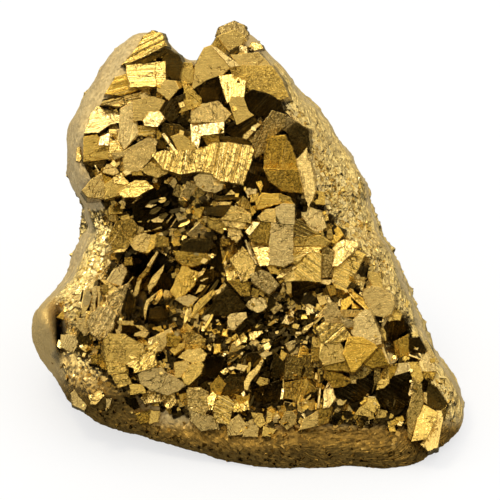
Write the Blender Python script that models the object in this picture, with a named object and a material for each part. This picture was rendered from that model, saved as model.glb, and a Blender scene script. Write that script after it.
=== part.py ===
"""A palm-sized specimen of brassy gold crystals, grown together on a lump of their own rock.

The specimen is one solid. Its crystal-bearing face leans back by LEAN, and most of its shape is given
in that face's own millimetres: a runs to the right, u runs up the slope and n stands out from it.
The rock is a rounded mass whose edge follows OUTLINE, with hollows and bulges pressed into its front.
Blocky crystals stand out of the rock, most of them given by the corners of the facet that shows, and
grains of the same mineral stud its sides and back. It is cut off flat underneath, where it rests.
"""

import math
import random

import bmesh
import bpy
from mathutils import Matrix, Vector, noise

MM = 0.001
LEAN = math.radians(30)
BACK_Y = 42.0  # how far back the rock reaches from its front foot
FOOT = Vector((0.7, -21.6, 0)) * MM  # where the face's zero lies, seen from under the middle of the specimen
SEED = 11
SPREAD = 0.18  # how far a crystal's sides lean out, per millimetre of depth
ROCK_DETAIL = 0.38  # the share of the rock's faces that is kept, which leaves it broken and uneven
# Grains of the right flank, and of the other sides and the back: count, least gap, size and height.
FLANK_GRAINS = (46, 2.6 * MM, (2.0 * MM, 3.4 * MM), (0.5 * MM, 1.0 * MM))
BACK_GRAINS = (64, 5.0 * MM, (3.0 * MM, 5.6 * MM), (0.5 * MM, 1.3 * MM))

ACROSS = Vector((1, 0, 0))
UP = Vector((0, math.sin(LEAN), math.cos(LEAN)))
OUT = Vector((0, -math.cos(LEAN), math.sin(LEAN)))

# ---------------------------------------------------------------- the rock
CENTRE_A, CENTRE_U = -2.0, 28.0
FIELD_N = -2.6  # the rock between the crystals
BACK_N = -40.0

# The edge of the specimen in its own face, anticlockwise from the right foot.
OUTLINE = [
    (30.2, 6.6), (29.6, 11), (27, 14.8), (25, 18), (23.8, 21), (22, 26), (20.5, 30), (18.3, 33),
    (17.2, 36.5), (16.6, 40), (14.6, 43), (12.4, 46.5), (9.6, 50), (6.9, 53.2), (5, 56), (2.4, 58.6),
    (0.2, 61.2), (-2, 62), (-4, 61.2), (-5, 58.8), (-6.5, 58.2), (-7.6, 56.8), (-10, 58.4),
    (-12, 59.8), (-14, 60.8), (-17, 60.2), (-19.5, 58.2), (-21.8, 55), (-23.6, 51.5), (-25.4, 48),
    (-25.8, 45), (-25.6, 41), (-24, 36.5), (-23.3, 33.5), (-24.7, 29.5), (-26, 26), (-28.4, 23.8),
    (-30.4, 21.6), (-30.9, 18.5), (-29.6, 15), (-27.4, 12), (-25.4, 9), (-21, 6.2), (-15, 4.6),
    (-10, 3), (-6, 1.6), (0, 0.2), (7, 0.2), (11, -0.8), (18, -0.6), (23, -0.2), (26, 2.6), (29.2, 4.2),
]

# Direction from the centre in degrees, how far back the edge lies there, and how square the rock's
# shoulder is: 2 is round, 4 is nearly a box.
RIM = [
    (-180, -13, 3.2), (-165, -14, 3.0), (-152, -14, 3.0), (-140, -10, 3.4), (-128, -7, 3.8),
    (-110, -4, 4.4), (-90, -2.5, 5.0), (-70, -1.5, 5.0), (-50, -1.5, 5.0), (-42, -4, 4.0), (-34, -9, 3.2),
    (-25, -14, 2.8), (-10, -15, 2.5), (10, -14, 2.3), (30, -14, 2.1), (50, -13, 2.1), (70, -12, 2.2),
    (85, -9, 2.6), (93, -8, 3.0), (100, -12, 3.0), (110, -9, 3.0), (125, -12, 2.6), (150, -14, 3.0),
    (180, -13, 3.2),
]

# Hollows and bulges of the front: a, u, half-widths along and across, turn in degrees, height in n.
RELIEF = [
    (-14.4, 26.6, 5.4, 4.2, 0, -9.0),  # the deep hollow full of blades
    (-13.5, 34.0, 4.6, 2.8, -10, -4.0),  # the smaller hollow above it
    (-5.2, 26.6, 3.4, 2.8, 20, -4.5),
    (2.0, 19.8, 8.5, 3.2, 24, -4.5),  # the crevice that climbs to the right
    (4.0, 12.0, 6.5, 3.0, 8, -3.0),
    (20.6, 18.2, 2.4, 2.6, 0, -5.0),
    (19.8, 10.0, 3.0, 3.0, 0, -2.6),
    (6.0, 38.0, 5.0, 8.0, 0, 2.6),
    (13.0, 18.0, 4.4, 3.6, 0, 3.6),
    (-26.7, 20.0, 0.9, 4.2, 8, -5.0),  # the cleft behind the left lump
    (-29.4, 20.0, 2.2, 4.6, 8, 4.0),  # the left lump
    (-21.0, 12.0, 6.0, 4.0, 0, 1.8),
    (7.0, 3.0, 19.0, 3.0, -2, 2.2),  # the ledge along the foot
    (-8.8, 58.0, 2.2, 4.0, 0, -4.5),  # the saddle between the two peaks
]

# ---------------------------------------------------------------- the crystals
# The facet that shows (its corners), its height n, how far it turns to the right and up in degrees,
# the crystal's depth, and how far its root lies to the right and up, which bares its sides.
CRYSTALS = [
    # the right peak
    (-3.0, 0, 6, 5, (0.4, -1.8), [(-4.7, 60), (-4.3, 61.6), (-2.2, 62.5), (-0.4, 61.6), (-0.8, 59.1), (-2.7, 58)]),
    (0.3, -4, 4, 8, (1.0, -3.0), [(-7.7, 53), (-4.4, 54.4), (-2.8, 55.9), (-5.4, 58.7), (-6.5, 58.4), (-8, 55)]),
    (-0.7, 24, 20, 5, (0, -1.0), [(-5.4, 58.8), (-2.8, 55.9), (-1.4, 56), (-2.4, 57.2)]),
    (1.4, 7, 4, 8, (0.5, -3.0), [(-3, 55.9), (-1, 53), (0.5, 52.6), (4, 51.4), (5, 53), (3, 55.7), (1, 57.6), (-2.4, 57.5)]),
    (0.2, -10, 20, 4, (0, -0.6), [(-3.9, 54.2), (-3, 51.6), (-1.1, 51.5), (-1, 53.2)]),
    (-1.6, 10, 16, 5, (0, -1.5), [(-1, 59), (0.6, 60.6), (2.4, 58.4), (1.2, 57.4), (-1.6, 57.8)]),
    # the left peak and its stepped block
    (0.0, -6, 14, 6, (2.0, -0.6), [(-20, 52), (-16, 52.9), (-12, 54), (-12, 56.2), (-16.5, 56), (-19, 54.5)]),
    (-1.6, -8, 22, 5, (1.6, -0.6), [(-18.3, 56.4), (-12, 56.4), (-12, 59.3), (-13.2, 60.3), (-16.6, 58.6)]),
    (-3.2, 4, 4, 7, (0, -1.6), [(-9.8, 54), (-8.1, 54.6), (-7.7, 56.2), (-9.8, 57.5), (-11, 57.5)]),
    (-1.0, -8, 10, 5, (0, -0.8), [(-20.8, 50.9), (-16.6, 51.1), (-13.4, 51.5), (-12.8, 52.8), (-16, 52.7), (-20.4, 51.9)]),
    (-2.6, -14, 26, 5, (0.6, -0.8), [(-23, 47), (-20.5, 47.8), (-18, 48.3), (-18, 49.5), (-21.2, 50.4), (-22.2, 49)]),
    (-0.4, 4, 4, 6, (0.4, -1.0), [(-18, 50.2), (-16.4, 46.2), (-14.8, 46.6), (-13, 49.4), (-12.2, 51), (-16.5, 51.1)]),
    (0.5, 6, 2, 5, (0.6, -1.0), [(-12.6, 52.6), (-12, 51.6), (-10.8, 51.4), (-9.9, 52.4), (-10.2, 53.7), (-11.8, 53.8)]),
    (0.3, -8, 24, 4, (0, -0.6), [(-14.4, 48.1), (-13.3, 47.5), (-12, 48), (-12.2, 49.3), (-14.2, 49.5)]),
    (0.0, 10, -30, 5, (0, 0), [(-12.6, 50), (-11.4, 48.2), (-9.9, 49.5), (-10.9, 51.4)]),
    # the upper middle
    (0.8, -2, 6, 6, (0.4, -1.4), [(-8, 48.1), (-3.3, 48), (-2.9, 49.3), (-4.5, 50.9), (-8, 50.1)]),
    (0.9, -14, 26, 5, (0.6, -1.2), [(-8.1, 48), (-7.5, 44.9), (-6.5, 46.4), (-4.2, 46.5), (-3.8, 48)]),
    (0.8, 4, 0, 5, (0, -1.2), [(-2.8, 51.2), (-2.5, 48.3), (0.5, 49.2), (-0.9, 49.8), (-1, 51.5)]),
    (0.2, 4, -32, 5, (0, 0), [(-3.3, 47.3), (-1.8, 46), (0.7, 48), (0.6, 49.2), (-2.3, 48.2)]),
    (2.2, 12, 12, 8, (0, -0.5), [(-0.8, 46.6), (-0.5, 46), (1.5, 47.6), (0.9, 47.9)]),
    (0.2, 6, 8, 5, (0, -1.0), [(-10.2, 53), (-9.8, 49.6), (-8.4, 50.4), (-6.7, 50.9)]),
    (0.0, -6, 4, 5, (0, -1.2), [(-11.2, 46.6), (-9.8, 44.4), (-8, 45.1), (-8.6, 47)]),
    (1.8, -3, 12, 6, (-0.3, -1.8), [(-13.5, 43.5), (-10, 41), (-3.9, 40.2), (-1.2, 39.5), (0.4, 44.3), (-2, 45.2), (-6.5, 44.8)]),
    # the standing column right of the slab
    (3.4, 6, -8, 9, (-1.8, -1.2), [(2, 41.5), (2.8, 39.7), (4.2, 39), (7, 38.4), (6.4, 41), (6, 43.5), (5, 45.5), (2.7, 46)]),
    (2.2, -34, 0, 7, (0, -1.0), [(0.5, 43), (2, 41.5), (2.7, 46), (0.9, 45.9)]),
    (1.4, 16, -20, 6, (0, 0), [(5, 45.4), (6.1, 43.4), (7.6, 43.6), (8.3, 45.5), (7, 47.6), (5.1, 47.5)]),
    (1.5, 22, 14, 6, (0.6, -0.6), [(6.3, 43.5), (6.7, 40.5), (8.1, 36.5), (9, 41), (8, 44.4)]),
    # the left edge
    (-3.8, -4, 2, 5, (0, -1.4), [(-23, 42.9), (-19.7, 43.2), (-19.7, 44.7), (-21, 46.2), (-23, 46.2)]),
    (-3.4, -6, 6, 5, (0, -1.2), [(-22.7, 38.8), (-22, 37.5), (-19.8, 37.5), (-20, 39.6), (-20.7, 41.3)]),
    (-2.4, 8, 12, 5, (0, -1.0), [(-20, 39), (-18.6, 38.4), (-17.2, 40), (-18, 41.2), (-20.5, 41.3)]),
    (-0.6, -6, 20, 5, (0, -1.4), [(-18, 38.2), (-17.4, 37.5), (-14.7, 38), (-13.7, 39), (-14.2, 39.7), (-15.6, 39.8)]),
    (-0.8, 8, 2, 5, (0, -1.2), [(-18.5, 41.7), (-16, 41.3), (-14.4, 41.8), (-13, 43.8), (-13.9, 45.5), (-16.2, 44)]),
    # plates in the smaller hollow
    (-1.6, 4, 6, 8, (0, -0.8), [(-16.8, 31.2), (-14.2, 30.2), (-13, 32.4), (-15, 32.6)]),
    (-2.0, -10, -14, 5, (0, 0), [(-19.6, 32), (-18.7, 30.2), (-16.4, 32), (-16.2, 34.2), (-18.4, 34.2)]),
    (0.0, 2, 8, 5, (0, -1.2), [(-7.7, 41), (-7.5, 39.5), (-4.7, 38.5), (-3.6, 39.3), (-5.7, 41.1)]),
    # the middle
    (1.2, 2, 4, 6, (0, 1.2), [(0.3, 36.2), (2.5, 36.1), (4.8, 36.4), (5, 37.6), (2.2, 38), (0.4, 37.6)]),
    (0.4, -2, -18, 6, (0, 1.0), [(-5.3, 36.8), (-5, 35), (-2.6, 35.2), (-2.6, 37)]),
    (0.6, 2, 2, 6, (0.4, -1.4), [(-4.7, 34.6), (-3.5, 33), (-1.2, 33), (0, 34.3), (-0.2, 36.4), (-2.9, 36.2)]),
    (2.6, 10, 4, 8, (-0.8, -0.8), [(3, 31.5), (3.7, 28.7), (5.4, 29), (6.1, 33), (6, 36.4), (4.5, 36.8), (3.4, 35.8)]),
    (1.8, -16, 10, 6, (0, -1.0), [(0.4, 33.1), (0.8, 32.6), (3.2, 34.3), (3.5, 36), (1.6, 35.3)]),
    (1.2, -12, 26, 6, (0, -1.2), [(0.3, 31.4), (1.2, 28.7), (2.5, 28.5), (3, 31.3)]),
    (1.4, 0, -14, 6, (0, 1.4), [(6.3, 30.9), (10.9, 31), (10.3, 32), (6.3, 32.3)]),
    (1.8, -4, 12, 7, (0, -1.6), [(4, 26.3), (9.5, 25.7), (11.2, 28), (10.8, 30.8), (6.1, 30.7)]),
    (1.0, 6, -12, 5, (0, 0), [(6.2, 32.6), (9.2, 32.6), (8.8, 34.2), (6.5, 34)]),
    (1.3, -8, 24, 6, (0.4, -0.8), [(11.7, 30.4), (12, 28.2), (14.8, 31.4)]),
    (1.0, 8, 10, 6, (0, -1.6), [(11.8, 25.4), (13, 25), (14, 25.6), (16, 29), (13.8, 30), (12, 28)]),
    (0.2, 0, 4, 6, (0, -1.4), [(-2.5, 29.2), (-1.3, 25.8), (-0.6, 26.3), (0.7, 28), (0.5, 29.6)]),
    (1.0, 8, -8, 5, (-0.5, -1), [(0.1, 26.3), (2.6, 24.5), (3.8, 25.5), (1.8, 27.4)]),
    # blades and plates in the deep hollow
    (-3.6, 10, -6, 7, (0, -0.8), [(-11, 24.8), (-10, 24), (-7.8, 25.9), (-7.2, 27.1), (-8.6, 27.4), (-9.7, 28.1)]),
    (-3.0, -6, 8, 6, (0, -0.8), [(-10.4, 23.5), (-9.2, 22.3), (-7.4, 22.6), (-7.5, 23.6)]),
    (-2.0, 14, 8, 6, (0.4, -1.0), [(-8, 21.2), (-7.4, 21), (-3.4, 25.4), (-3.9, 25.8), (-7.6, 22.6)]),
    (-4.8, 20, 4, 6, (1.0, 0), [(-19.7, 26.1), (-18.4, 25.2), (-17.6, 28.4)]),
    (-5.6, 24, 0, 6, (1.0, 0), [(-16.6, 22.6), (-15.6, 22), (-13.4, 27.4), (-14.2, 27.4)]),
    (-5.2, 24, 0, 6, (1.0, 0), [(-14.6, 22), (-13.7, 21.6), (-11.8, 26.8), (-12.6, 26.9)]),
    (-3.0, 20, 6, 6, (1.0, 0), [(-22.6, 20.4), (-21.4, 19.4), (-19.4, 24.6), (-20.8, 25)]),
    (-2.6, 20, 6, 6, (1.0, 0), [(-20.6, 19.4), (-19.2, 18.8), (-17.6, 23.4), (-18.8, 24.2)]),
    # the lower left
    (0.8, -2, 2, 7, (0, -1.2), [(-20.3, 16.8), (-18.5, 15), (-16.2, 15.2), (-14.8, 17.2), (-17.7, 18.5), (-20, 18.1)]),
    (1.2, 6, -2, 7, (0, -1.0), [(-14, 18), (-12.5, 15.8), (-9.3, 17), (-9.9, 19.4), (-12, 19.8)]),
    (1.8, 6, 4, 7, (0.6, -1.0), [(-10, 15), (-8, 11.9), (-6, 15), (-7, 16.5)]),
    (1.6, -4, 2, 7, (0, -1.0), [(-16, 12.6), (-14.8, 11.5), (-11, 10.8), (-9, 12), (-12.4, 14)]),
    (1.0, -8, 18, 6, (0, -0.8), [(-15.8, 14.2), (-13.4, 13.8), (-12.8, 15.6), (-14.6, 17), (-16, 15.2)]),
    (-1.6, -6, 8, 6, (0, -0.8), [(-24.8, 9), (-22.8, 8.4), (-22.4, 10.4), (-24.4, 10.8)]),
    (-0.8, -4, 14, 6, (0, -0.8), [(-22, 9.3), (-20.6, 9), (-20.4, 10.6), (-21.8, 10.9)]),
    (0.4, 4, 4, 6, (0, -0.8), [(-14.2, 6.6), (-12.4, 6.4), (-12.2, 8), (-14, 8.2)]),
    (0.8, 2, 14, 6, (0, -0.8), [(-15, 8.9), (-10.6, 8.7), (-10.4, 10.2), (-14.8, 10.4)]),
    (1.6, 8, -4, 6, (0, -0.8), [(-9, 8.4), (-7.2, 6), (-5.2, 8.2), (-6.4, 10.8), (-8.4, 10.8)]),
    (-1.6, 10, 4, 6, (0, -0.8), [(-27, 13.4), (-24.6, 12.4), (-22.8, 14.6), (-24.6, 16.6), (-26.6, 16)]),
    (-1.0, 10, 14, 6, (0, -0.8), [(-25.4, 20.4), (-23.4, 19.4), (-23, 23.6), (-24.6, 24.4)]),
    (-3.4, -12, 10, 6, (0, -0.8), [(-24, 31.6), (-21, 30.6), (-19.8, 33), (-21.6, 34.6), (-23.4, 34)]),
    (-2.4, -4, 16, 6, (0, -0.8), [(-24.2, 27), (-21.4, 26), (-20, 28.6), (-22, 30.2), (-24, 29.6)]),
    # grains in the crevice
    (-1.6, 4, 2, 5, (0, -0.8), [(-0.2, 22.6), (0.6, 22), (1.8, 22.2), (2, 23.2), (1, 23.7), (0, 23.4)]),
    (-1.2, -4, 4, 5, (0, -0.8), [(-3, 20.4), (-2, 19.9), (-0.9, 20.5), (-1, 21.3), (-2.2, 21.6)]),
    (-0.6, -14, 24, 5, (0, -0.5), [(4.6, 20.3), (5.9, 20.7), (6.1, 21.8), (5.5, 22)]),
    (-2.2, -4, -24, 6, (0, 0), [(-7, 21), (-1.6, 21.8), (0, 23.6), (-3.2, 25)]),
    (-0.8, 10, 16, 8, (0, -0.6), [(-2.4, 17.2), (-1.4, 17), (0, 18.6), (-0.6, 19)]),
    (-0.8, -6, 20, 8, (0, -0.6), [(0, 18.4), (1.2, 18.2), (1.8, 19.1), (0.6, 19.3)]),
    (-0.6, 6, -28, 6, (0, 0), [(1, 15.4), (4.6, 13.4), (8, 17.6), (4.6, 18.6)]),
    (0.2, -8, -24, 6, (0, 0), [(4.4, 9.6), (8.8, 10), (9, 14), (5.2, 13.2)]),
    (-0.2, 8, -26, 6, (0, 0), [(-4.6, 11), (-1, 10.6), (-0.6, 14.6), (-4, 15.4)]),
    (-1.0, 14, 6, 5, (0, -0.8), [(7.2, 18.8), (8, 18.6), (9.2, 20.4), (8.6, 20.6)]),
    (-0.6, 12, 8, 5, (0, -0.8), [(9, 21.2), (9.8, 20.8), (11.6, 23.6), (11, 24)]),
    (-1.4, -6, -20, 6, (0, 0), [(5, 22.6), (8.6, 22), (9.4, 25), (6, 25.4)]),
    # the big cube right of the crevice and what surrounds it
    (3.4, -4, 12, 8, (0, 0.8), [(10.2, 21.4), (10.6, 19.4), (14, 19.6), (15, 20.6), (14.2, 22), (12, 22.8)]),
    (4.0, 14, 10, 8, (0.6, -0.4), [(14.3, 20), (14.5, 18.8), (17.5, 17.3), (18, 18), (16.6, 21.7), (16, 22)]),
    (5.0, 4, -6, 9, (0.9, -0.8), [(13.1, 15.6), (14.3, 13.6), (15.7, 14.7), (17.7, 17.3), (13.5, 17.9)]),
    (3.6, -20, -10, 8, (0, -0.6), [(9.6, 18.8), (9.8, 13.2), (13.8, 13.4), (13, 15.6), (13.2, 18.4)]),
    (0.4, 6, 4, 6, (0, -1.0), [(16.1, 24.2), (16.8, 21.6), (18.6, 21), (19.9, 22.3), (19.6, 24), (17.4, 25)]),
    (0.8, -6, 10, 5, (0, -0.6), [(12.7, 22.8), (14, 22.1), (16.1, 22.5), (14.3, 24.5), (13.2, 24)]),
    (-3.4, 4, -14, 5, (0, 0), [(20, 17.4), (20.3, 16), (22.2, 15.2), (22, 18.5)]),
    (0.6, 0, 8, 5, (0, -1.0), [(20, 12.6), (22.3, 13.4), (23.5, 14.4), (21, 14.7)]),
    (1.2, 6, 0, 7, (-0.6, 0), [(22, 13), (22.6, 4.4), (23.9, 4.8), (23.9, 13.8)]),
    (0.4, -6, -30, 5, (0, 0), [(17.6, 10.5), (19.3, 7.7), (21.8, 7.2), (22, 13)]),
    (0.9, -10, 18, 5, (0, -0.5), [(17.6, 11), (19.2, 12), (19.4, 14), (18.5, 13.1)]),
    (2.6, -8, 16, 7, (1.6, -0.8), [(22.4, 4.2), (24, 4), (25.5, 6), (25.8, 8), (23.7, 8.6)]),
    (-1.6, 20, -14, 6, (0, 0), [(24.3, 12), (24.6, 9), (26.4, 8), (27.4, 8.8)]),
    # the spike and blocks along the foot
    (2.6, -10, 22, 6, (0, -1.0), [(10.2, 8.6), (11.3, 8.6), (11.7, 9.6), (10.9, 12), (10.4, 10.6)]),
    (2.4, 6, 2, 6, (0, -1.0), [(7, 5.4), (9, 5.6), (9.7, 8), (8, 7.8)]),
    (2.2, -6, 4, 6, (0, -1.0), [(0.4, 6.6), (1.6, 5.4), (3.4, 6.2), (3, 8), (1.2, 8.2)]),
    (1.6, -8, 10, 6, (0, -1.0), [(-5, 7), (-2.6, 6.6), (-1.8, 9.4), (-4.4, 10)]),
    (0.8, 4, 10, 5, (0, -0.8), [(-0.7, 11), (0.3, 10.9), (1.6, 14.4), (1, 14.6)]),
    (2.4, 8, 4, 6, (0, -1.0), [(13.6, 7.8), (16.4, 7.4), (17.6, 9.4), (15, 9.8)]),
]


def face_point(a, u, n):
    return MM * (a * ACROSS + u * UP + n * OUT)


def along_table(table, x):
    """The values of a table whose rows start with a rising key, between the two rows around x."""
    for low, high in zip(table, table[1:]):
        if x <= high[0]:
            t = (x - low[0]) / (high[0] - low[0])
            return [p + (q - p) * t for p, q in zip(low[1:], high[1:])]
    return list(table[-1][1:])


def outline_radius(angle):
    """How far the outline is from the centre in a direction of the face."""
    ray = Vector((math.cos(angle), math.sin(angle)))
    for (a0, u0), (a1, u1) in zip(OUTLINE, OUTLINE[1:] + OUTLINE[:1]):
        p, q = Vector((a0 - CENTRE_A, u0 - CENTRE_U)), Vector((a1 - CENTRE_A, u1 - CENTRE_U))
        if p.cross(ray) >= 0 and ray.cross(q) > 0:
            return p.cross(q) / (ray.cross(q - p))
    raise ValueError(angle)


def relief(a, u):
    """The height that the hollows and bulges give to the front."""
    height = 0
    for at_a, at_u, along, across, turn, high in RELIEF:
        t = math.radians(turn)
        x = ((a - at_a) * math.cos(t) + (u - at_u) * math.sin(t)) / along
        y = ((u - at_u) * math.cos(t) - (a - at_a) * math.sin(t)) / across
        height += high * math.exp(-(x * x + y * y))
    return height


def lumps(a, u, n):
    """A noise in millimetres that roughens the rock: broad swellings and finer lumps."""
    p = Vector((a, u, n))
    return 0.9 * noise.noise(p / 9) + 0.6 * noise.noise(p / 4 + Vector((7, 0, 0)))


def rock_point(direction):
    """A direction of the unit sphere, as across, up and out, to its point on the rock."""
    flat = math.hypot(direction.x, direction.y)
    angle = math.atan2(direction.y, direction.x)
    edge_n, square = along_table(RIM, math.degrees(angle))
    front = direction.z > 0
    k = square if front else 2.6
    stretch = (flat**k + abs(direction.z) ** k) ** (-1 / k)
    reach, high = flat * stretch, abs(direction.z) * stretch
    radius = outline_radius(angle)
    if not front:
        around = [outline_radius(angle + math.radians(d)) for d in (-24, -16, -8, 8, 16, 24)]
        radius += (sum(around) / 6 - radius) * min(1, high * 1.6)
    radius *= reach
    a, u = CENTRE_A + radius * math.cos(angle), CENTRE_U + radius * math.sin(angle)
    n = edge_n + ((FIELD_N if front else BACK_N) - edge_n) * high
    rough = lumps(a, u, n)
    if front:
        n += relief(a, u) * min(1, high * 1.5) + rough * min(1, high * 2)
    else:
        n -= 1.6 * rough * high
    shrink = 1 - (0.15 - 0.4 * rough) * reach**4 / max(radius, 1)
    a, u = CENTRE_A + (a - CENTRE_A) * shrink, CENTRE_U + (u - CENTRE_U) * shrink
    point = face_point(a, u, n)
    # The back is broken off nearly upright, with a rounded turn into it.
    limit = (BACK_Y + 1.6 * rough) * MM
    over = point.y - (limit - 8 * MM)
    if over > 0:
        point.y = limit - 8 * MM + 8 * MM * math.tanh(over / (8 * MM))
    return point


def add_crystal(bm, n, right, up, depth, root, corners):
    """A closed block behind a facet: the facet's corners in its tilted plane, then the same outline
    further back, moved by root and spread, so that the sides lean out."""
    mid_a = sum(a for a, _ in corners) / len(corners)
    mid_u = sum(u for _, u in corners) / len(corners)
    slope_a, slope_u = math.tan(math.radians(right)), math.tan(math.radians(up))
    top, foot = [], []
    for a, u in corners:
        level = n - slope_a * (a - mid_a) - slope_u * (u - mid_u)
        top.append(bm.verts.new(face_point(a, u, level)))
        away = Vector((a - mid_a, u - mid_u)).normalized() * depth * SPREAD
        wide_a, wide_u = a + away.x, u + away.y
        foot.append(bm.verts.new(face_point(wide_a + root[0], wide_u + root[1], level - depth)))
    count = len(corners)
    faces = [bm.faces.new(top), bm.faces.new(foot[::-1])]
    for i in range(count):
        j = (i + 1) % count
        faces.append(bm.faces.new((foot[i], foot[j], top[j], top[i])))
    bmesh.ops.recalc_face_normals(bm, faces=faces)


def add_grain(bm, point, outward, size, proud, rng):
    """A box turned at random and sunk in the rock, so that its highest corner stands proud."""
    turn = Matrix.Rotation(rng.uniform(0, math.tau), 3, "Z")
    turn @= Matrix.Rotation(rng.uniform(0.3, 0.9), 3, rng.choice("XY"))
    turn @= Matrix.Rotation(rng.uniform(0, math.tau), 3, "Z")
    shape = Matrix.Diagonal((size, size * rng.uniform(0.7, 1.2), size * rng.uniform(0.8, 1.1)))
    made = bmesh.ops.create_cube(bm, size=1, matrix=(turn @ shape).to_4x4())["verts"]
    sink = proud - max(vert.co.dot(outward) for vert in made)
    for vert in made:
        vert.co += point + outward * sink


def on_right_flank(point):
    """Whether a point lies on the slope that falls away right of the crystals."""
    a, u, n = point.x / MM, point.dot(UP) / MM, point.dot(OUT) / MM
    return n > -12 and u > 16 and a > 9 + (40 - u) * 0.35


def add_grains(bm, count, gap, sizes, heights, flank, rng):
    """Grains at random places on the right flank, or on the sides and back."""
    placed = []
    while len(placed) < count:
        direction = Vector([rng.gauss(0, 1) for _ in range(3)]).normalized()
        point = rock_point(direction)
        wanted = on_right_flank(point) if flank else point.dot(OUT) < -8 * MM
        if not wanted or point.z < 2 * MM or any((point - p).length < gap for p in placed):
            continue
        placed.append(point)
        aside = direction.orthogonal() * 0.05
        over = direction.cross(aside)
        outward = (rock_point((direction + aside).normalized()) - point).cross(
            rock_point((direction + over).normalized()) - point
        )
        outward.normalize()
        add_grain(bm, point, outward, rng.uniform(*sizes), rng.uniform(*heights), rng)


def new_object(name, bm, collection):
    mesh = bpy.data.meshes.new(name)
    bm.to_mesh(mesh)
    bm.free()
    obj = bpy.data.objects.new(name, mesh)
    collection.objects.link(obj)
    return obj


def boolean(obj, operation, other):
    modifier = obj.modifiers.new(operation.title(), "BOOLEAN")
    modifier.operation, modifier.solver, modifier.object = operation, "EXACT", other
    modifier.use_self = operation == "UNION"


def keep_largest_shell(bm):
    """Deletes every connected shell of the mesh but the one with the most corners."""
    left, shells = set(bm.verts), []
    while left:
        shell, edge = set(), [left.pop()]
        while edge:
            vert = edge.pop()
            shell.add(vert)
            fresh = {e.other_vert(vert) for e in vert.link_edges} & left
            left -= fresh
            edge += fresh
        shells.append(shell)
    outer = max(shells, key=len)
    bmesh.ops.delete(bm, geom=[v for shell in shells if shell is not outer for v in shell])


for old in list(bpy.data.objects):
    bpy.data.objects.remove(old, do_unlink=True)

specimen_collection = bpy.data.collections.new("gold_specimen")
tools_collection = bpy.data.collections.new("shaping_tools")
for collection in (specimen_collection, tools_collection):
    bpy.context.scene.collection.children.link(collection)

# The rock is a sphere whose points move out to the rock's surface.
bm = bmesh.new()
bmesh.ops.create_icosphere(bm, subdivisions=5, radius=1)
for vert in bm.verts:
    vert.co = rock_point(vert.co.normalized())
bmesh.ops.recalc_face_normals(bm, faces=bm.faces)
specimen = new_object("specimen", bm, specimen_collection)
coarser = specimen.modifiers.new("Decimate", "DECIMATE")
coarser.ratio = ROCK_DETAIL

# The crystals are one cutter mesh of overlapping closed blocks, joined to the rock in one union.
bm = bmesh.new()
for row in CRYSTALS:
    add_crystal(bm, *row)
rng = random.Random(SEED)
add_grains(bm, *FLANK_GRAINS, True, rng)
add_grains(bm, *BACK_GRAINS, False, rng)
crystals = new_object("crystals", bm, tools_collection)
boolean(specimen, "UNION", crystals)

# The ground takes off everything below the flat base.
bm = bmesh.new()
bmesh.ops.create_cube(bm, size=0.2, matrix=Matrix.Translation((0, 0, -0.1)))
ground = new_object("ground", bm, tools_collection)
boolean(specimen, "DIFFERENCE", ground)

# Where crystals meet deep inside, the union can leave pinhole voids. Only the outer skin is kept.
evaluated = specimen.evaluated_get(bpy.context.evaluated_depsgraph_get())
joined = bpy.data.meshes.new_from_object(evaluated)
specimen.modifiers.clear()
bm = bmesh.new()
bm.from_mesh(joined)
keep_largest_shell(bm)
bmesh.ops.translate(bm, verts=bm.verts, vec=FOOT)
bm.to_mesh(specimen.data)
bm.free()
bpy.data.meshes.remove(joined)

for tool in (crystals, ground):
    tool.hide_render, tool.display_type = True, "WIRE"
    tool.location = FOOT

gold = bpy.data.materials.new("brassy gold mineral")
gold.use_nodes = True
shader = gold.node_tree.nodes["Principled BSDF"]
shader.inputs["Base Color"].default_value = (0.62, 0.42, 0.13, 1)
shader.inputs["Metallic"].default_value = 0.9
shader.inputs["Roughness"].default_value = 0.3
specimen.data.materials.append(gold)
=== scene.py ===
import itertools
import math
import random
from functools import partial

import bmesh
import bpy
import numpy as np
from mathutils import Euler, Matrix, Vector, noise
from mathutils.kdtree import KDTree


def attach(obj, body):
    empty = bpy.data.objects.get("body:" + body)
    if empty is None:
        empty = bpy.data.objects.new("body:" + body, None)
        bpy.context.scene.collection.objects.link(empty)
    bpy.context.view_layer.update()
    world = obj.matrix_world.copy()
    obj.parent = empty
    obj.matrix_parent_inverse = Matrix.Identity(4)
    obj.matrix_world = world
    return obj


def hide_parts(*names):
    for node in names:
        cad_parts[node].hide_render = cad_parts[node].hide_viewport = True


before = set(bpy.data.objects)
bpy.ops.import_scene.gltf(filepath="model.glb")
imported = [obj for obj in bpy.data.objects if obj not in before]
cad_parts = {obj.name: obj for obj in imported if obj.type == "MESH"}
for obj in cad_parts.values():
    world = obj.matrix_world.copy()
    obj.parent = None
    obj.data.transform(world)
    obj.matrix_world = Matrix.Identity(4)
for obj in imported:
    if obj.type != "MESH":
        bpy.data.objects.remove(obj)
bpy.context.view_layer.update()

# ------------------------------------------------------------------ the studio
# A pale floor that runs out to white, one soft lamp high on the left, and a room whose upper half is
# bright and whose lower half is dark, which is what bright metallic crystals need to show their facets.
MM = 0.001
LEAN = math.radians(30)  # the crystal face leans back by this much, square to the camera
ACROSS = np.array((1.0, 0.0, 0.0))
UP = np.array((0.0, math.sin(LEAN), math.cos(LEAN)))
OUT = np.array((0.0, -math.cos(LEAN), math.sin(LEAN)))
FOOT = np.array((0.7, -21.6, 0.0))  # where the face's zero stands, in mm from the middle of the base
LOOK_AT = (0, 30.38, -4)  # the point of the face, in its own mm, that the camera looks at
CAMERA_REACH = 0.97
LAMP_PLACE = (-0.17, -0.065, 0.465)


def from_face(points):
    """Face millimetres (across, up the slope, out of it) to the row frame in metres."""
    points = np.asarray(points, float)
    return (points @ np.array((ACROSS, UP, OUT)) + FOOT) * MM


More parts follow.
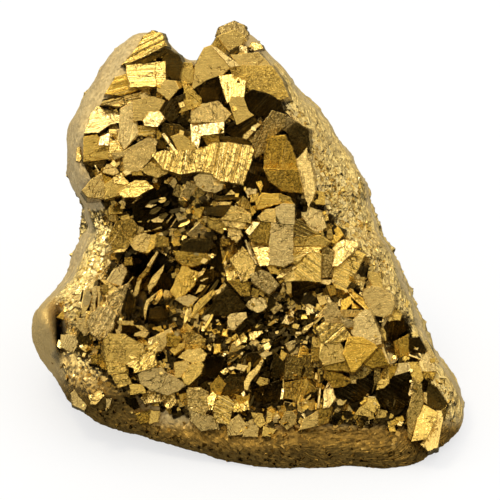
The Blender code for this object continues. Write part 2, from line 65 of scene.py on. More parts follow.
def put_in_scene(name, data):
    """An object for a camera, a lamp or a mesh."""
    made = bpy.data.objects.new(name, data)
    bpy.context.scene.collection.objects.link(made)
    return made


def feed(tree, socket, value):
    """Gives an input a number, a colour, or the output of another node."""
    if isinstance(value, bpy.types.NodeSocket):
        tree.links.new(value, socket)
    else:
        socket.default_value = value


def node(tree, kind, *inputs, **settings):
    """A node of a tree, with its inputs in order, and its properties and other inputs by name."""
    made = tree.nodes.new("ShaderNode" + kind)
    for name, value in settings.items():
        if hasattr(made, name):
            setattr(made, name, value)
        else:
            feed(tree, made.inputs[name.replace("_", " ")], value)
    for socket, value in zip(made.inputs, inputs):
        feed(tree, socket, value)
    return made


def math_node(tree, operation, *values, clamp=False):
    """The output of a Math node."""
    return node(tree, "Math", *values, operation=operation, use_clamp=clamp).outputs[0]


def vector_node(tree, operation, *values, **settings):
    """The vector that a Vector Math node gives, or the number if it gives one."""
    made = node(tree, "VectorMath", *values, operation=operation, **settings)
    return made.outputs["Value" if operation == "DOT_PRODUCT" else "Vector"]


def new_material(name):
    """A material, with its tree and its shader."""
    made = bpy.data.materials.new(name)
    made.use_nodes = True
    return made, made.node_tree, made.node_tree.nodes["Principled BSDF"]


camera_data = bpy.data.cameras.new("camera")
camera_data.lens = 500
camera_data.clip_end = 20
camera = put_in_scene("camera", camera_data)
camera.location = from_face(LOOK_AT) + OUT * CAMERA_REACH
camera.rotation_euler = (math.pi / 2 - LEAN, 0, 0)
bpy.context.scene.camera = camera
bpy.context.scene.view_settings.view_transform = "Standard"

# Round the room from below, past the front, over the top and down the back: angle and brightness.
ROOM = [
    (-180, 0.62), (-150, 0.20), (-120, 0.03), (-70, 0.01), (-18, 0.02), (0, 0.13), (14, 0.39), (30, 0.64),
    (48, 0.93), (64, 1.55), (90, 1.75), (120, 1.2), (150, 0.95), (180, 0.62),
]
ROOM_TINT = (1.0, 0.84, 0.46)
world = bpy.data.worlds.new("studio")
bpy.context.scene.world = world
world.use_nodes = True
tree = world.node_tree
tree.nodes.clear()
place = node(tree, "TexCoord").outputs["Generated"]
to_right, to_front, to_top = (
    vector_node(tree, "DOT_PRODUCT", place, direction) for direction in ((1, 0, 0), (0, -1, 0), (0, 0, 1))
)
around = math_node(tree, "ARCTAN2", to_top, to_front)
ramp = node(tree, "ValToRGB", math_node(tree, "MULTIPLY_ADD", around, 1 / math.tau, 0.5))
stops = ramp.color_ramp.elements
stops[0].position, stops[1].position = 0, 1
for angle, _ in ROOM[1:-1]:
    stops.new(angle / 360 + 0.5)
for stop, (_, bright) in zip(stops, ROOM):
    stop.color = (*[bright / 2 * tint for tint in ROOM_TINT], 1)
room = node(tree, "Background", ramp.outputs[0], math_node(tree, "MULTIPLY_ADD", to_right, -0.5, 2.0))
backdrop = node(tree, "Background", (1, 1, 1, 1), 1.0)
shiny = node(tree, "LightPath").outputs["Is Glossy Ray"]
seen = node(tree, "MixShader", shiny, backdrop.outputs[0], room.outputs[0])
node(tree, "OutputWorld", Surface=seen.outputs[0])

lamp_data = bpy.data.lights.new("high_lamp", "AREA")
lamp_data.shape = "DISK"
lamp_data.size = 0.13
lamp_data.energy = 0.42
lamp_data.color = (1.0, 0.9, 0.68)
lamp = put_in_scene("high_lamp", lamp_data)
lamp.location = LAMP_PLACE
lamp.rotation_euler = Vector(LAMP_PLACE).to_track_quat("Z", "Y").to_euler()

floor_mesh = bpy.data.meshes.new("floor")
floor_mesh.from_pydata([(-4, -4, 0), (4, -4, 0), (4, 4, 0), (-4, 4, 0)], [], [(0, 1, 2, 3)])
floor = put_in_scene("floor", floor_mesh)
floor.visible_glossy = False
white, _, paper = new_material("white_paper")
paper.inputs["Base Color"].default_value = (0.32, 0.32, 0.32, 1)
paper.inputs["Roughness"].default_value = 1.0
paper.inputs["Emission Color"].default_value = (1, 1, 1, 1)
paper.inputs["Emission Strength"].default_value = 0.67
paper.inputs["Specular IOR Level"].default_value = 0.0
floor_mesh.materials.append(white)

# ------------------------------------------------------------------ the rock
# The lump that all the crystals grew from and into: the same brassy mineral, but massive and granular,
# brown and dusty along the foot. It grew as one mass, broke off behind and is cut flat underneath.
CENTRE_A, CENTRE_U = -2.0, 28.0
FIELD_N, BACK_N, BACK_Y = -0.2, -40.0, 42.0  # how far out the face and the back lie, and the broken back
BACK_TURN = 8  # how round the turn into the broken back is
ROCK_CUTS = 126  # how finely each side of the starting cube is divided
OUTLINE = np.array([
    (30.2, 6.6), (29.6, 11), (27, 14.8), (25, 18), (23.8, 21), (22, 26), (20.5, 30), (18.3, 33),
    (17.2, 36.5), (16.6, 40), (14.6, 43), (12.4, 46.5), (9.6, 50), (6.9, 53.2), (5, 56), (2.4, 58.6),
    (0.2, 61.2), (-2, 62), (-4, 61.2), (-5, 58.8), (-6.5, 58.2), (-7.6, 56.8), (-10, 58.4),
    (-12, 60.2), (-14, 61.5), (-17, 61), (-19.5, 58.8), (-21.8, 55), (-23.6, 51.5), (-25.4, 48),
    (-25.8, 45), (-25.6, 41), (-23.2, 36.5), (-22.4, 33.5), (-24.2, 29.5), (-26, 26), (-28.4, 23.8),
    (-30.4, 21.6), (-30.9, 18.5), (-29.6, 15), (-27.4, 12), (-25.4, 9), (-21, 6.2), (-15, 4.6),
    (-10, 3), (-6, 1.6), (0, 0.2), (7, 0.2), (11, -0.8), (18, -0.6), (23, -0.2), (26, 2.6), (29.2, 4.2),
])
# Direction from the centre, how far back the edge lies there, and how square the shoulder is.
RIM = np.array([
    (-180, -13, 3.2), (-165, -14, 3.0), (-152, -14, 3.0), (-140, -10, 3.4), (-128, -7, 3.8),
    (-110, -4, 4.4), (-90, -2.5, 5.0), (-70, -1.5, 5.0), (-50, -1.5, 5.0), (-42, -4, 4.0), (-34, -9, 3.2),
    (-25, -14, 2.8), (-10, -15, 2.5), (10, -14, 2.3), (30, -14, 2.1), (50, -13, 2.1), (70, -12, 2.2),
    (85, -9, 2.6), (93, -8, 3.0), (100, -12, 3.0), (110, -9, 3.0), (125, -12, 2.6), (150, -14, 3.0),
    (180, -13, 3.2),
])
BACK_SQUARE = 2.6
# Hollows and bulges: a, u, half-widths along and across, turn in degrees, height.
RELIEF = [
    (-14.4, 26.6, 5.4, 4.2, 0, -9.0), (-13.5, 34.0, 4.6, 2.8, -10, -4.0), (-5.2, 26.6, 3.4, 2.8, 20, -4.5),
    (2.0, 19.8, 8.5, 3.2, 24, -4.5), (4.0, 12.0, 6.5, 3.0, 8, -3.0), (20.6, 18.2, 2.4, 2.6, 0, -5.0),
    (19.8, 10.0, 3.0, 3.0, 0, -2.6), (6.0, 38.0, 5.0, 8.0, 0, 2.6), (13.0, 18.0, 4.4, 3.6, 0, 3.6),
    (-26.7, 19.6, 0.7, 3.6, 8, -3.4), (-29.4, 20.0, 2.2, 4.6, 8, 4.0), (-21.0, 12.0, 6.0, 4.0, 0, 1.8),
    (7.0, 3.0, 19.0, 3.0, -2, 2.2), (-8.8, 58.0, 2.2, 4.0, 0, -4.5),
]
ray_a, ray_u = (OUTLINE - (CENTRE_A, CENTRE_U)).T
RAY_ANGLE, RAY_LENGTH = np.degrees(np.arctan2(ray_u, ray_a)), np.hypot(ray_a, ray_u)
TO_RIGHT = Vector((7, 0, 0))  # a step aside, so that one noise doesn't follow another


def hollow(a, u):
    """The height that the hollows and bulges give to the front."""
    height = np.zeros(len(a))
    for at_a, at_u, half_along, half_across, turn, high in RELIEF:
        c, s = math.cos(math.radians(turn)), math.sin(math.radians(turn))
        x = ((a - at_a) * c + (u - at_u) * s) / half_along
        y = ((u - at_u) * c - (a - at_a) * s) / half_across
        height += high * np.exp(-(x * x + y * y))
    return height


def waver(points, size, aside=Vector()):
    """A soft random value at each point, from about -0.5 to 0.5, that changes over the size in mm."""
    return np.array([noise.noise(Vector(p) / size + aside) for p in points])


def rock_points(directions):
    """Unit directions (across, up, out) to points of the rock, in face millimetres."""
    across, up, out = directions.T
    flat, high = np.hypot(across, up), np.abs(out)
    angle = np.arctan2(up, across)
    edge_n = np.interp(np.degrees(angle), RIM[:, 0], RIM[:, 1])
    front = out > 0
    square = np.where(front, np.interp(np.degrees(angle), RIM[:, 0], RIM[:, 2]), BACK_SQUARE)
    stretch = (flat**square + high**square) ** (-1 / square)
    reach, high = flat * stretch, high * stretch

    def edge(turned):
        return np.interp(np.degrees(angle) + turned, RAY_ANGLE, RAY_LENGTH, period=360)

    radius = (edge(-2) + 2 * edge(0) + edge(2)) / 4
    smooth = sum(edge(turned) for turned in (-24, -16, -8, 8, 16, 24)) / 6
    radius += np.where(front, 0, (smooth - radius) * np.minimum(1, high * 1.6))
    radius = radius * reach
    a, u = CENTRE_A + radius * np.cos(angle), CENTRE_U + radius * np.sin(angle)
    n = edge_n + (np.where(front, FIELD_N, BACK_N) - edge_n) * high
    at = list(zip(a, u, n))
    rough = 0.9 * waver(at, 9) + 0.6 * waver(at, 4, TO_RIGHT)
    n += np.where(front, hollow(a, u) * np.minimum(1, high * 1.5) + rough * np.minimum(1, high * 2),
                  -1.6 * rough * high)
    shrink = 1 - (0.15 - 0.4 * rough) * reach**4 / np.maximum(radius, 1)
    a, u = CENTRE_A + (a - CENTRE_A) * shrink, CENTRE_U + (u - CENTRE_U) * shrink
    # The back is broken off nearly upright, with a rounded turn into it.
    back = u * UP[1] + n * OUT[1]
    over = np.maximum(back - (BACK_Y + 1.6 * rough - BACK_TURN), 0)
    shift = BACK_TURN * np.tanh(over / BACK_TURN) - over
    return np.column_stack((a, u + shift * UP[1], n + shift * OUT[1]))


GRAIN_KINDS = 4096
rng = np.random.default_rng(5)
TURNS = np.linalg.qr(rng.normal(size=(GRAIN_KINDS, 3, 3)))[0]
JITTER = rng.uniform(0.15, 0.85, (GRAIN_KINDS, 3))
GRAIN_HALF = rng.uniform(0.42, 0.80, GRAIN_KINDS)
CELL_MIX = np.array((73856093, 19349663, 83492791))  # primes that pick a kind of grain for each cell
AROUND = list(itertools.product((-1, 0, 1), repeat=3))


def cube_grain(points, size):
    """The height of packed cubes, turned at random, above the points: flat facets and sharp corners."""
    cell = np.floor(points / size).astype(np.int64)
    best = np.full(len(points), -1.0)
    for step in AROUND:
        near = cell + step
        pick = (near @ CELL_MIX) % GRAIN_KINDS
        local = np.einsum("nij,nj->ni", TURNS[pick], points / size - near - JITTER[pick])
        best = np.maximum(best, GRAIN_HALF[pick] - np.abs(local).max(axis=1))
    return best * size


def mesh_of(name, points, faces):
    """An object with a mesh of flat faces."""
    mesh = bpy.data.meshes.new(name)
    mesh.from_pydata(points, [], faces)
    mesh.update()
    return put_in_scene(name, mesh)


bm = bmesh.new()
bmesh.ops.create_cube(bm, size=2)
bmesh.ops.subdivide_edges(bm, edges=bm.edges, cuts=ROCK_CUTS, use_grid_fill=True)
start = np.array([vert.co for vert in bm.verts])
quads = np.array([[vert.index for vert in face.verts] for face in bm.faces])
bm.free()
start = np.tan(start * (math.pi / 4))
start /= np.linalg.norm(start, axis=1)[:, None]
smooth_rock = rock_points(start)
rock = mesh_of("rock", smooth_rock, quads.tolist())
smooth_normals = np.empty(len(smooth_rock) * 3)
rock.data.vertex_normals.foreach_get("vector", smooth_normals)
smooth_normals = smooth_normals.reshape(-1, 3)


def share(value, low, high):
    """How far a value is from low to high, as 0 to 1 with soft ends."""
    t = np.clip((value - low) / (high - low), 0, 1)
    return t * t * (3 - 2 * t)


# The foot and the lower left are dull rock with fine grain, the right flank is coarse sparkling grain,
# the edges all round are smooth, and under the crystals the rock is painted black as shade.
FIELD = [
    (-20.5, 49), (-18, 51), (-16.5, 55), (-13, 58), (-10, 55.6), (-8, 55.6), (-5, 59.6), (-2.4, 60.4),
    (-0.8, 59.2), (2.2, 55.6), (4.2, 52), (6, 48), (7.8, 44), (8.8, 40), (10, 36), (12.4, 33), (15.6, 30),
    (17.4, 25.6), (19.6, 22.4), (22.4, 19), (23.6, 14), (25.4, 10), (25.6, 7), (23, 5.4), (10, 6.2),
    (0, 5.8), (-8, 6.8), (-13, 8.8), (-18, 11), (-21, 14.4), (-22.2, 18), (-21.8, 22), (-20, 27),
    (-18.8, 31), (-18.8, 34), (-20.6, 38), (-22.6, 43),
]


def sides_of(corners):
    """Each side of an outline as its two ends."""
    return zip(corners, corners[1:] + corners[:1])


def inside_outline(a, u, corners):
    """Which points lie inside a closed outline."""
    crossings = np.zeros(len(a), int)
    for (a0, u0), (a1, u1) in sides_of(corners):
        between = (u0 > u) != (u1 > u)
        with np.errstate(divide="ignore", invalid="ignore"):
            crossings += between & (a < a0 + (u - u0) / (u1 - u0) * (a1 - a0))
    return crossings % 2 == 1


def broken_off(points, outward):
    """How much a point belongs to the sides and back, where the lump broke through its grains."""
    a, _, n = points.T
    patchy = (0.4 * waver(points, 6) + 0.5 * waver(points, 2.5)) * share(-n, 6, 14)
    return share(patchy - outward[:, 2] + 0.2 * share(a, 0, 12) + 0.45 * share(-n, 14, 21), 0.06, 0.3)


def zones(points, outward):
    """How much each point belongs to the dull matrix, the sparkling flank and the crystal field."""
    a, u, n = points.T
    field = inside_outline(a, u, FIELD) * share(outward[:, 2], 0.35, 0.6)
    matrix = share(-u, -7.5, -5.0) + share(-a, 12, 17) * share(-u, -18, -9) * (1 - field)
    matrix = np.clip(matrix, 0, 1)
    flank = share(a - 9 - (40 - u) * 0.35, -1, 1) * share(n, -20, -12) * share(outward[:, 2], 0.1, 0.4)
    flank = np.maximum(flank, broken_off(points, outward)) * (1 - matrix)
    left = share(-a, 17, 19) * share(outward[:, 2], 0.2, 0.5) * (u < 36) * share(u, 8, 11)
    return matrix, np.maximum(flank, left), field


matrix, flank, field = zones(smooth_rock, smooth_normals)
a, u, n = smooth_rock.T
back = broken_off(smooth_rock, smooth_normals) * share(-n, 14, 21)
behind = share(-n, 9, 15)
# The lump at the left end is smooth and bare, and its cleft is painted black as shade.
ripple = waver(smooth_rock, 2.2)
lump = share(1.6 * ripple - a, 25.6, 27.2) * share(u, 10, 15)
lump *= share(-u, -26, -21) * share(n + 3 * ripple, -19, -13)
flank *= 1 - lump
matrix_shown = matrix * (1 - lump)
coarse = np.maximum(np.maximum(0.5 * flank, back), field)
fine = 0.10 + 0.25 * behind + 0.4 * flank + 0.3 * back + 0.34 * matrix * (1 - lump) + 0.5 * field
height = cube_grain(smooth_rock + 9, 3.4) * 0.35 * back + cube_grain(smooth_rock, 1.7) * 0.6 * coarse
height += cube_grain(smooth_rock + 50, 0.85) * 0.75 * fine - 0.2 * coarse - 0.75 * back - 0.06
height += waver(smooth_rock, 4.5, TO_RIGHT) * 0.9 * behind * (1 - back)
dust = rng.normal(0, 0.04, len(smooth_rock)) * (0.2 + fine)
rock_face = smooth_rock + smooth_normals * (height + dust)[:, None]


def above_ground(points, centre=(CENTRE_A, CENTRE_U, -16)):
    """Row-frame points, with any below the flat base drawn in towards the middle until it is on it."""
    points = from_face(points)
    middle = from_face(centre)
    low = points[:, 2] < 0
    t = np.where(low, middle[2] / np.maximum(middle[2] - points[:, 2], 1e-9), 1)
    points = middle + (points - middle) * t[:, None]
    points[low, 2] = 0
    return points


rock.data.vertices.foreach_set("co", above_ground(rock_face).ravel())
rock.data.update()


def paint(mesh, name, values):
    """A value for each corner point of a mesh, which its material reads by name."""
    mesh.attributes.new(name, "FLOAT", "POINT").data.foreach_set("value", np.asarray(values, np.float32))


# The cleft and the rock under the crystal field get the deep value: painted shade, near black.
cleft = np.exp(-(((rock_face[:, 0] + 26.7) / 0.36) ** 2) - ((rock_face[:, 1] - 19) / 2.6) ** 2)
paint(rock.data, "flank", flank)
paint(rock.data, "lump", lump)
paint(rock.data, "matrix", matrix_shown)
paint(rock.data, "deep", np.maximum(field, np.minimum(1, 2 * cleft)))


def new_group(name, inputs, outputs):
    """An empty shader node group, with its inputs (name, type and default) and its outputs."""
    group = bpy.data.node_groups.new(name, "ShaderNodeTree")
    for socket, kind, value in inputs:
        made = group.interface.new_socket(name=socket, in_out="INPUT", socket_type="NodeSocket" + kind)
        if value is not None:
            made.default_value = value
    for socket, kind in outputs:
        group.interface.new_socket(name=socket, in_out="OUTPUT", socket_type="NodeSocket" + kind)
    return group, group.nodes.new("NodeGroupInput").outputs, group.nodes.new("NodeGroupOutput").inputs


# Sparkle: the surface is cut in small cells, and each cell is a plane tilted its own way.
sparkle, given, result = new_group(
    "sparkling_grain",
    [("Position", "Vector", None), ("Cells per metre", "Float", 3000.0), ("Tilt", "Float", 0.5)],
    [("Height", "Float"), ("Shade", "Float")],
)
scaled = vector_node(sparkle, "SCALE", given["Position"], Scale=given["Cells per metre"])
cells = node(sparkle, "TexVoronoi", scaled, feature="F1", Scale=1.0)
offset = vector_node(sparkle, "SUBTRACT", scaled, cells.outputs["Position"])
lean = vector_node(sparkle, "SUBTRACT", cells.outputs["Color"], (0.5, 0.5, 0.5))
plane = vector_node(sparkle, "DOT_PRODUCT", offset, lean)
feed(sparkle, result["Height"], math_node(sparkle, "MULTIPLY", plane, given["Tilt"]))
feed(sparkle, result["Shade"], node(sparkle, "SeparateXYZ", cells.outputs["Color"]).outputs[0])

# Tarnish: brown and dark patches in the gold, broad ones and specks.
tarnish, given, result = new_group(
    "tarnish",
    [("Position", "Vector", None), ("Amount", "Float", 0.5), ("Scale", "Float", 260.0)],
    [("Mask", "Float")],
)
broad = node(tarnish, "TexNoise", Vector=given["Position"], Scale=given["Scale"], Detail=6.0, Roughness=0.65)
level = math_node(tarnish, "MULTIPLY_ADD", given["Amount"], 0.5, -0.75)
raised = math_node(tarnish, "ADD", broad.outputs[0], level)
feed(tarnish, result["Mask"], math_node(tarnish, "MULTIPLY", raised, 5.0, clamp=True))


def in_group(tree, group, position, **values):
    """A group placed in a material, with its own values."""
    return node(tree, "Group", node_tree=group, Position=position, **values).outputs


def mix_colour(tree, factor, first, second, blend="MIX"):
    """A colour between two, or one multiplied by the other."""
    made = node(tree, "Mix", data_type="RGBA", blend_type=blend)
    for slot, value in ((0, factor), (6, first), (7, second)):
        feed(tree, made.inputs[slot], value)
    return made.outputs[2]


def painted(tree, name):
    """The value that a mesh was painted with."""
    return node(tree, "Attribute", attribute_name=name).outputs["Fac"]


rock_gold, tree, shader = new_material("granular_gold_rock")
calc, mixed = partial(math_node, tree), partial(mix_colour, tree)
flank, matrix, deep = (painted(tree, name) for name in ("flank", "matrix", "deep"))
position = node(tree, "TexCoord").outputs["Object"]
fine = in_group(tree, sparkle, position, Cells_per_metre=2600.0, Tilt=0.6)
coarse = in_group(tree, sparkle, position, Cells_per_metre=1100.0, Tilt=0.5)
stain = in_group(tree, tarnish, position, Amount=0.5, Scale=220.0)["Mask"]
broad_stain = in_group(tree, tarnish, position, Amount=0.5, Scale=60.0)["Mask"]
gold = mixed(fine["Shade"], (0.77, 0.61, 0.33, 1), (0.55, 0.42, 0.21, 1))
yellow = mixed(coarse["Shade"], (0.94, 0.80, 0.48, 1), (0.66, 0.53, 0.28, 1))
brown = mixed(fine["Shade"], (0.40, 0.25, 0.06, 1), (0.15, 0.09, 0.02, 1))
gold = mixed(flank, gold, yellow)
gold = mixed(calc("MULTIPLY", stain, 0.6), gold, (0.50, 0.36, 0.18, 1))
gold = mixed(matrix, gold, brown)
gold = mixed(calc("MULTIPLY", painted(tree, "lump"), 0.8), gold, (0.62, 0.43, 0.15, 1))
# Deep is painted shade, near black, in the gaps under the crystals and in the cleft.
gold = mixed(deep, gold, (0.022, 0.015, 0.007, 1))
soot = calc("MULTIPLY", calc("MULTIPLY", broad_stain, matrix), 0.6)
feed(tree, shader.inputs["Base Color"], mixed(soot, gold, (0.10, 0.06, 0.015, 1)))
metal = calc("MULTIPLY_ADD", calc("MAXIMUM", calc("MAXIMUM", matrix, flank), deep), 0.48, 0.5)
feed(tree, shader.inputs["Metallic"], calc("MULTIPLY_ADD", matrix, -0.2, metal))
rough = calc("MULTIPLY_ADD", coarse["Shade"], 0.18, 0.26)
rough = calc("MULTIPLY_ADD", flank, -0.17, rough)
feed(tree, shader.inputs["Roughness"], calc("MULTIPLY_ADD", matrix, 0.06, rough))
coarse_height = calc("MULTIPLY", coarse["Height"], calc("MULTIPLY_ADD", flank, 0.8, 0.2))
high = calc("ADD", calc("MULTIPLY", fine["Height"], 0.6), coarse_height)
bump = node(tree, "Bump", Strength=1.0, Distance=0.00025, Height=high)
feed(tree, shader.inputs["Normal"], bump.outputs[0])
rock.data.materials.append(rock_gold)
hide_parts("specimen")
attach(rock, "root")

# ------------------------------------------------------------------ the large crystals
# The blocks that give the specimen its look: flat brassy facets from 2 to 14 mm, with clipped corners,
# growth steps and fine parallel lines. They grew out of the rock, so each is rooted well inside it.

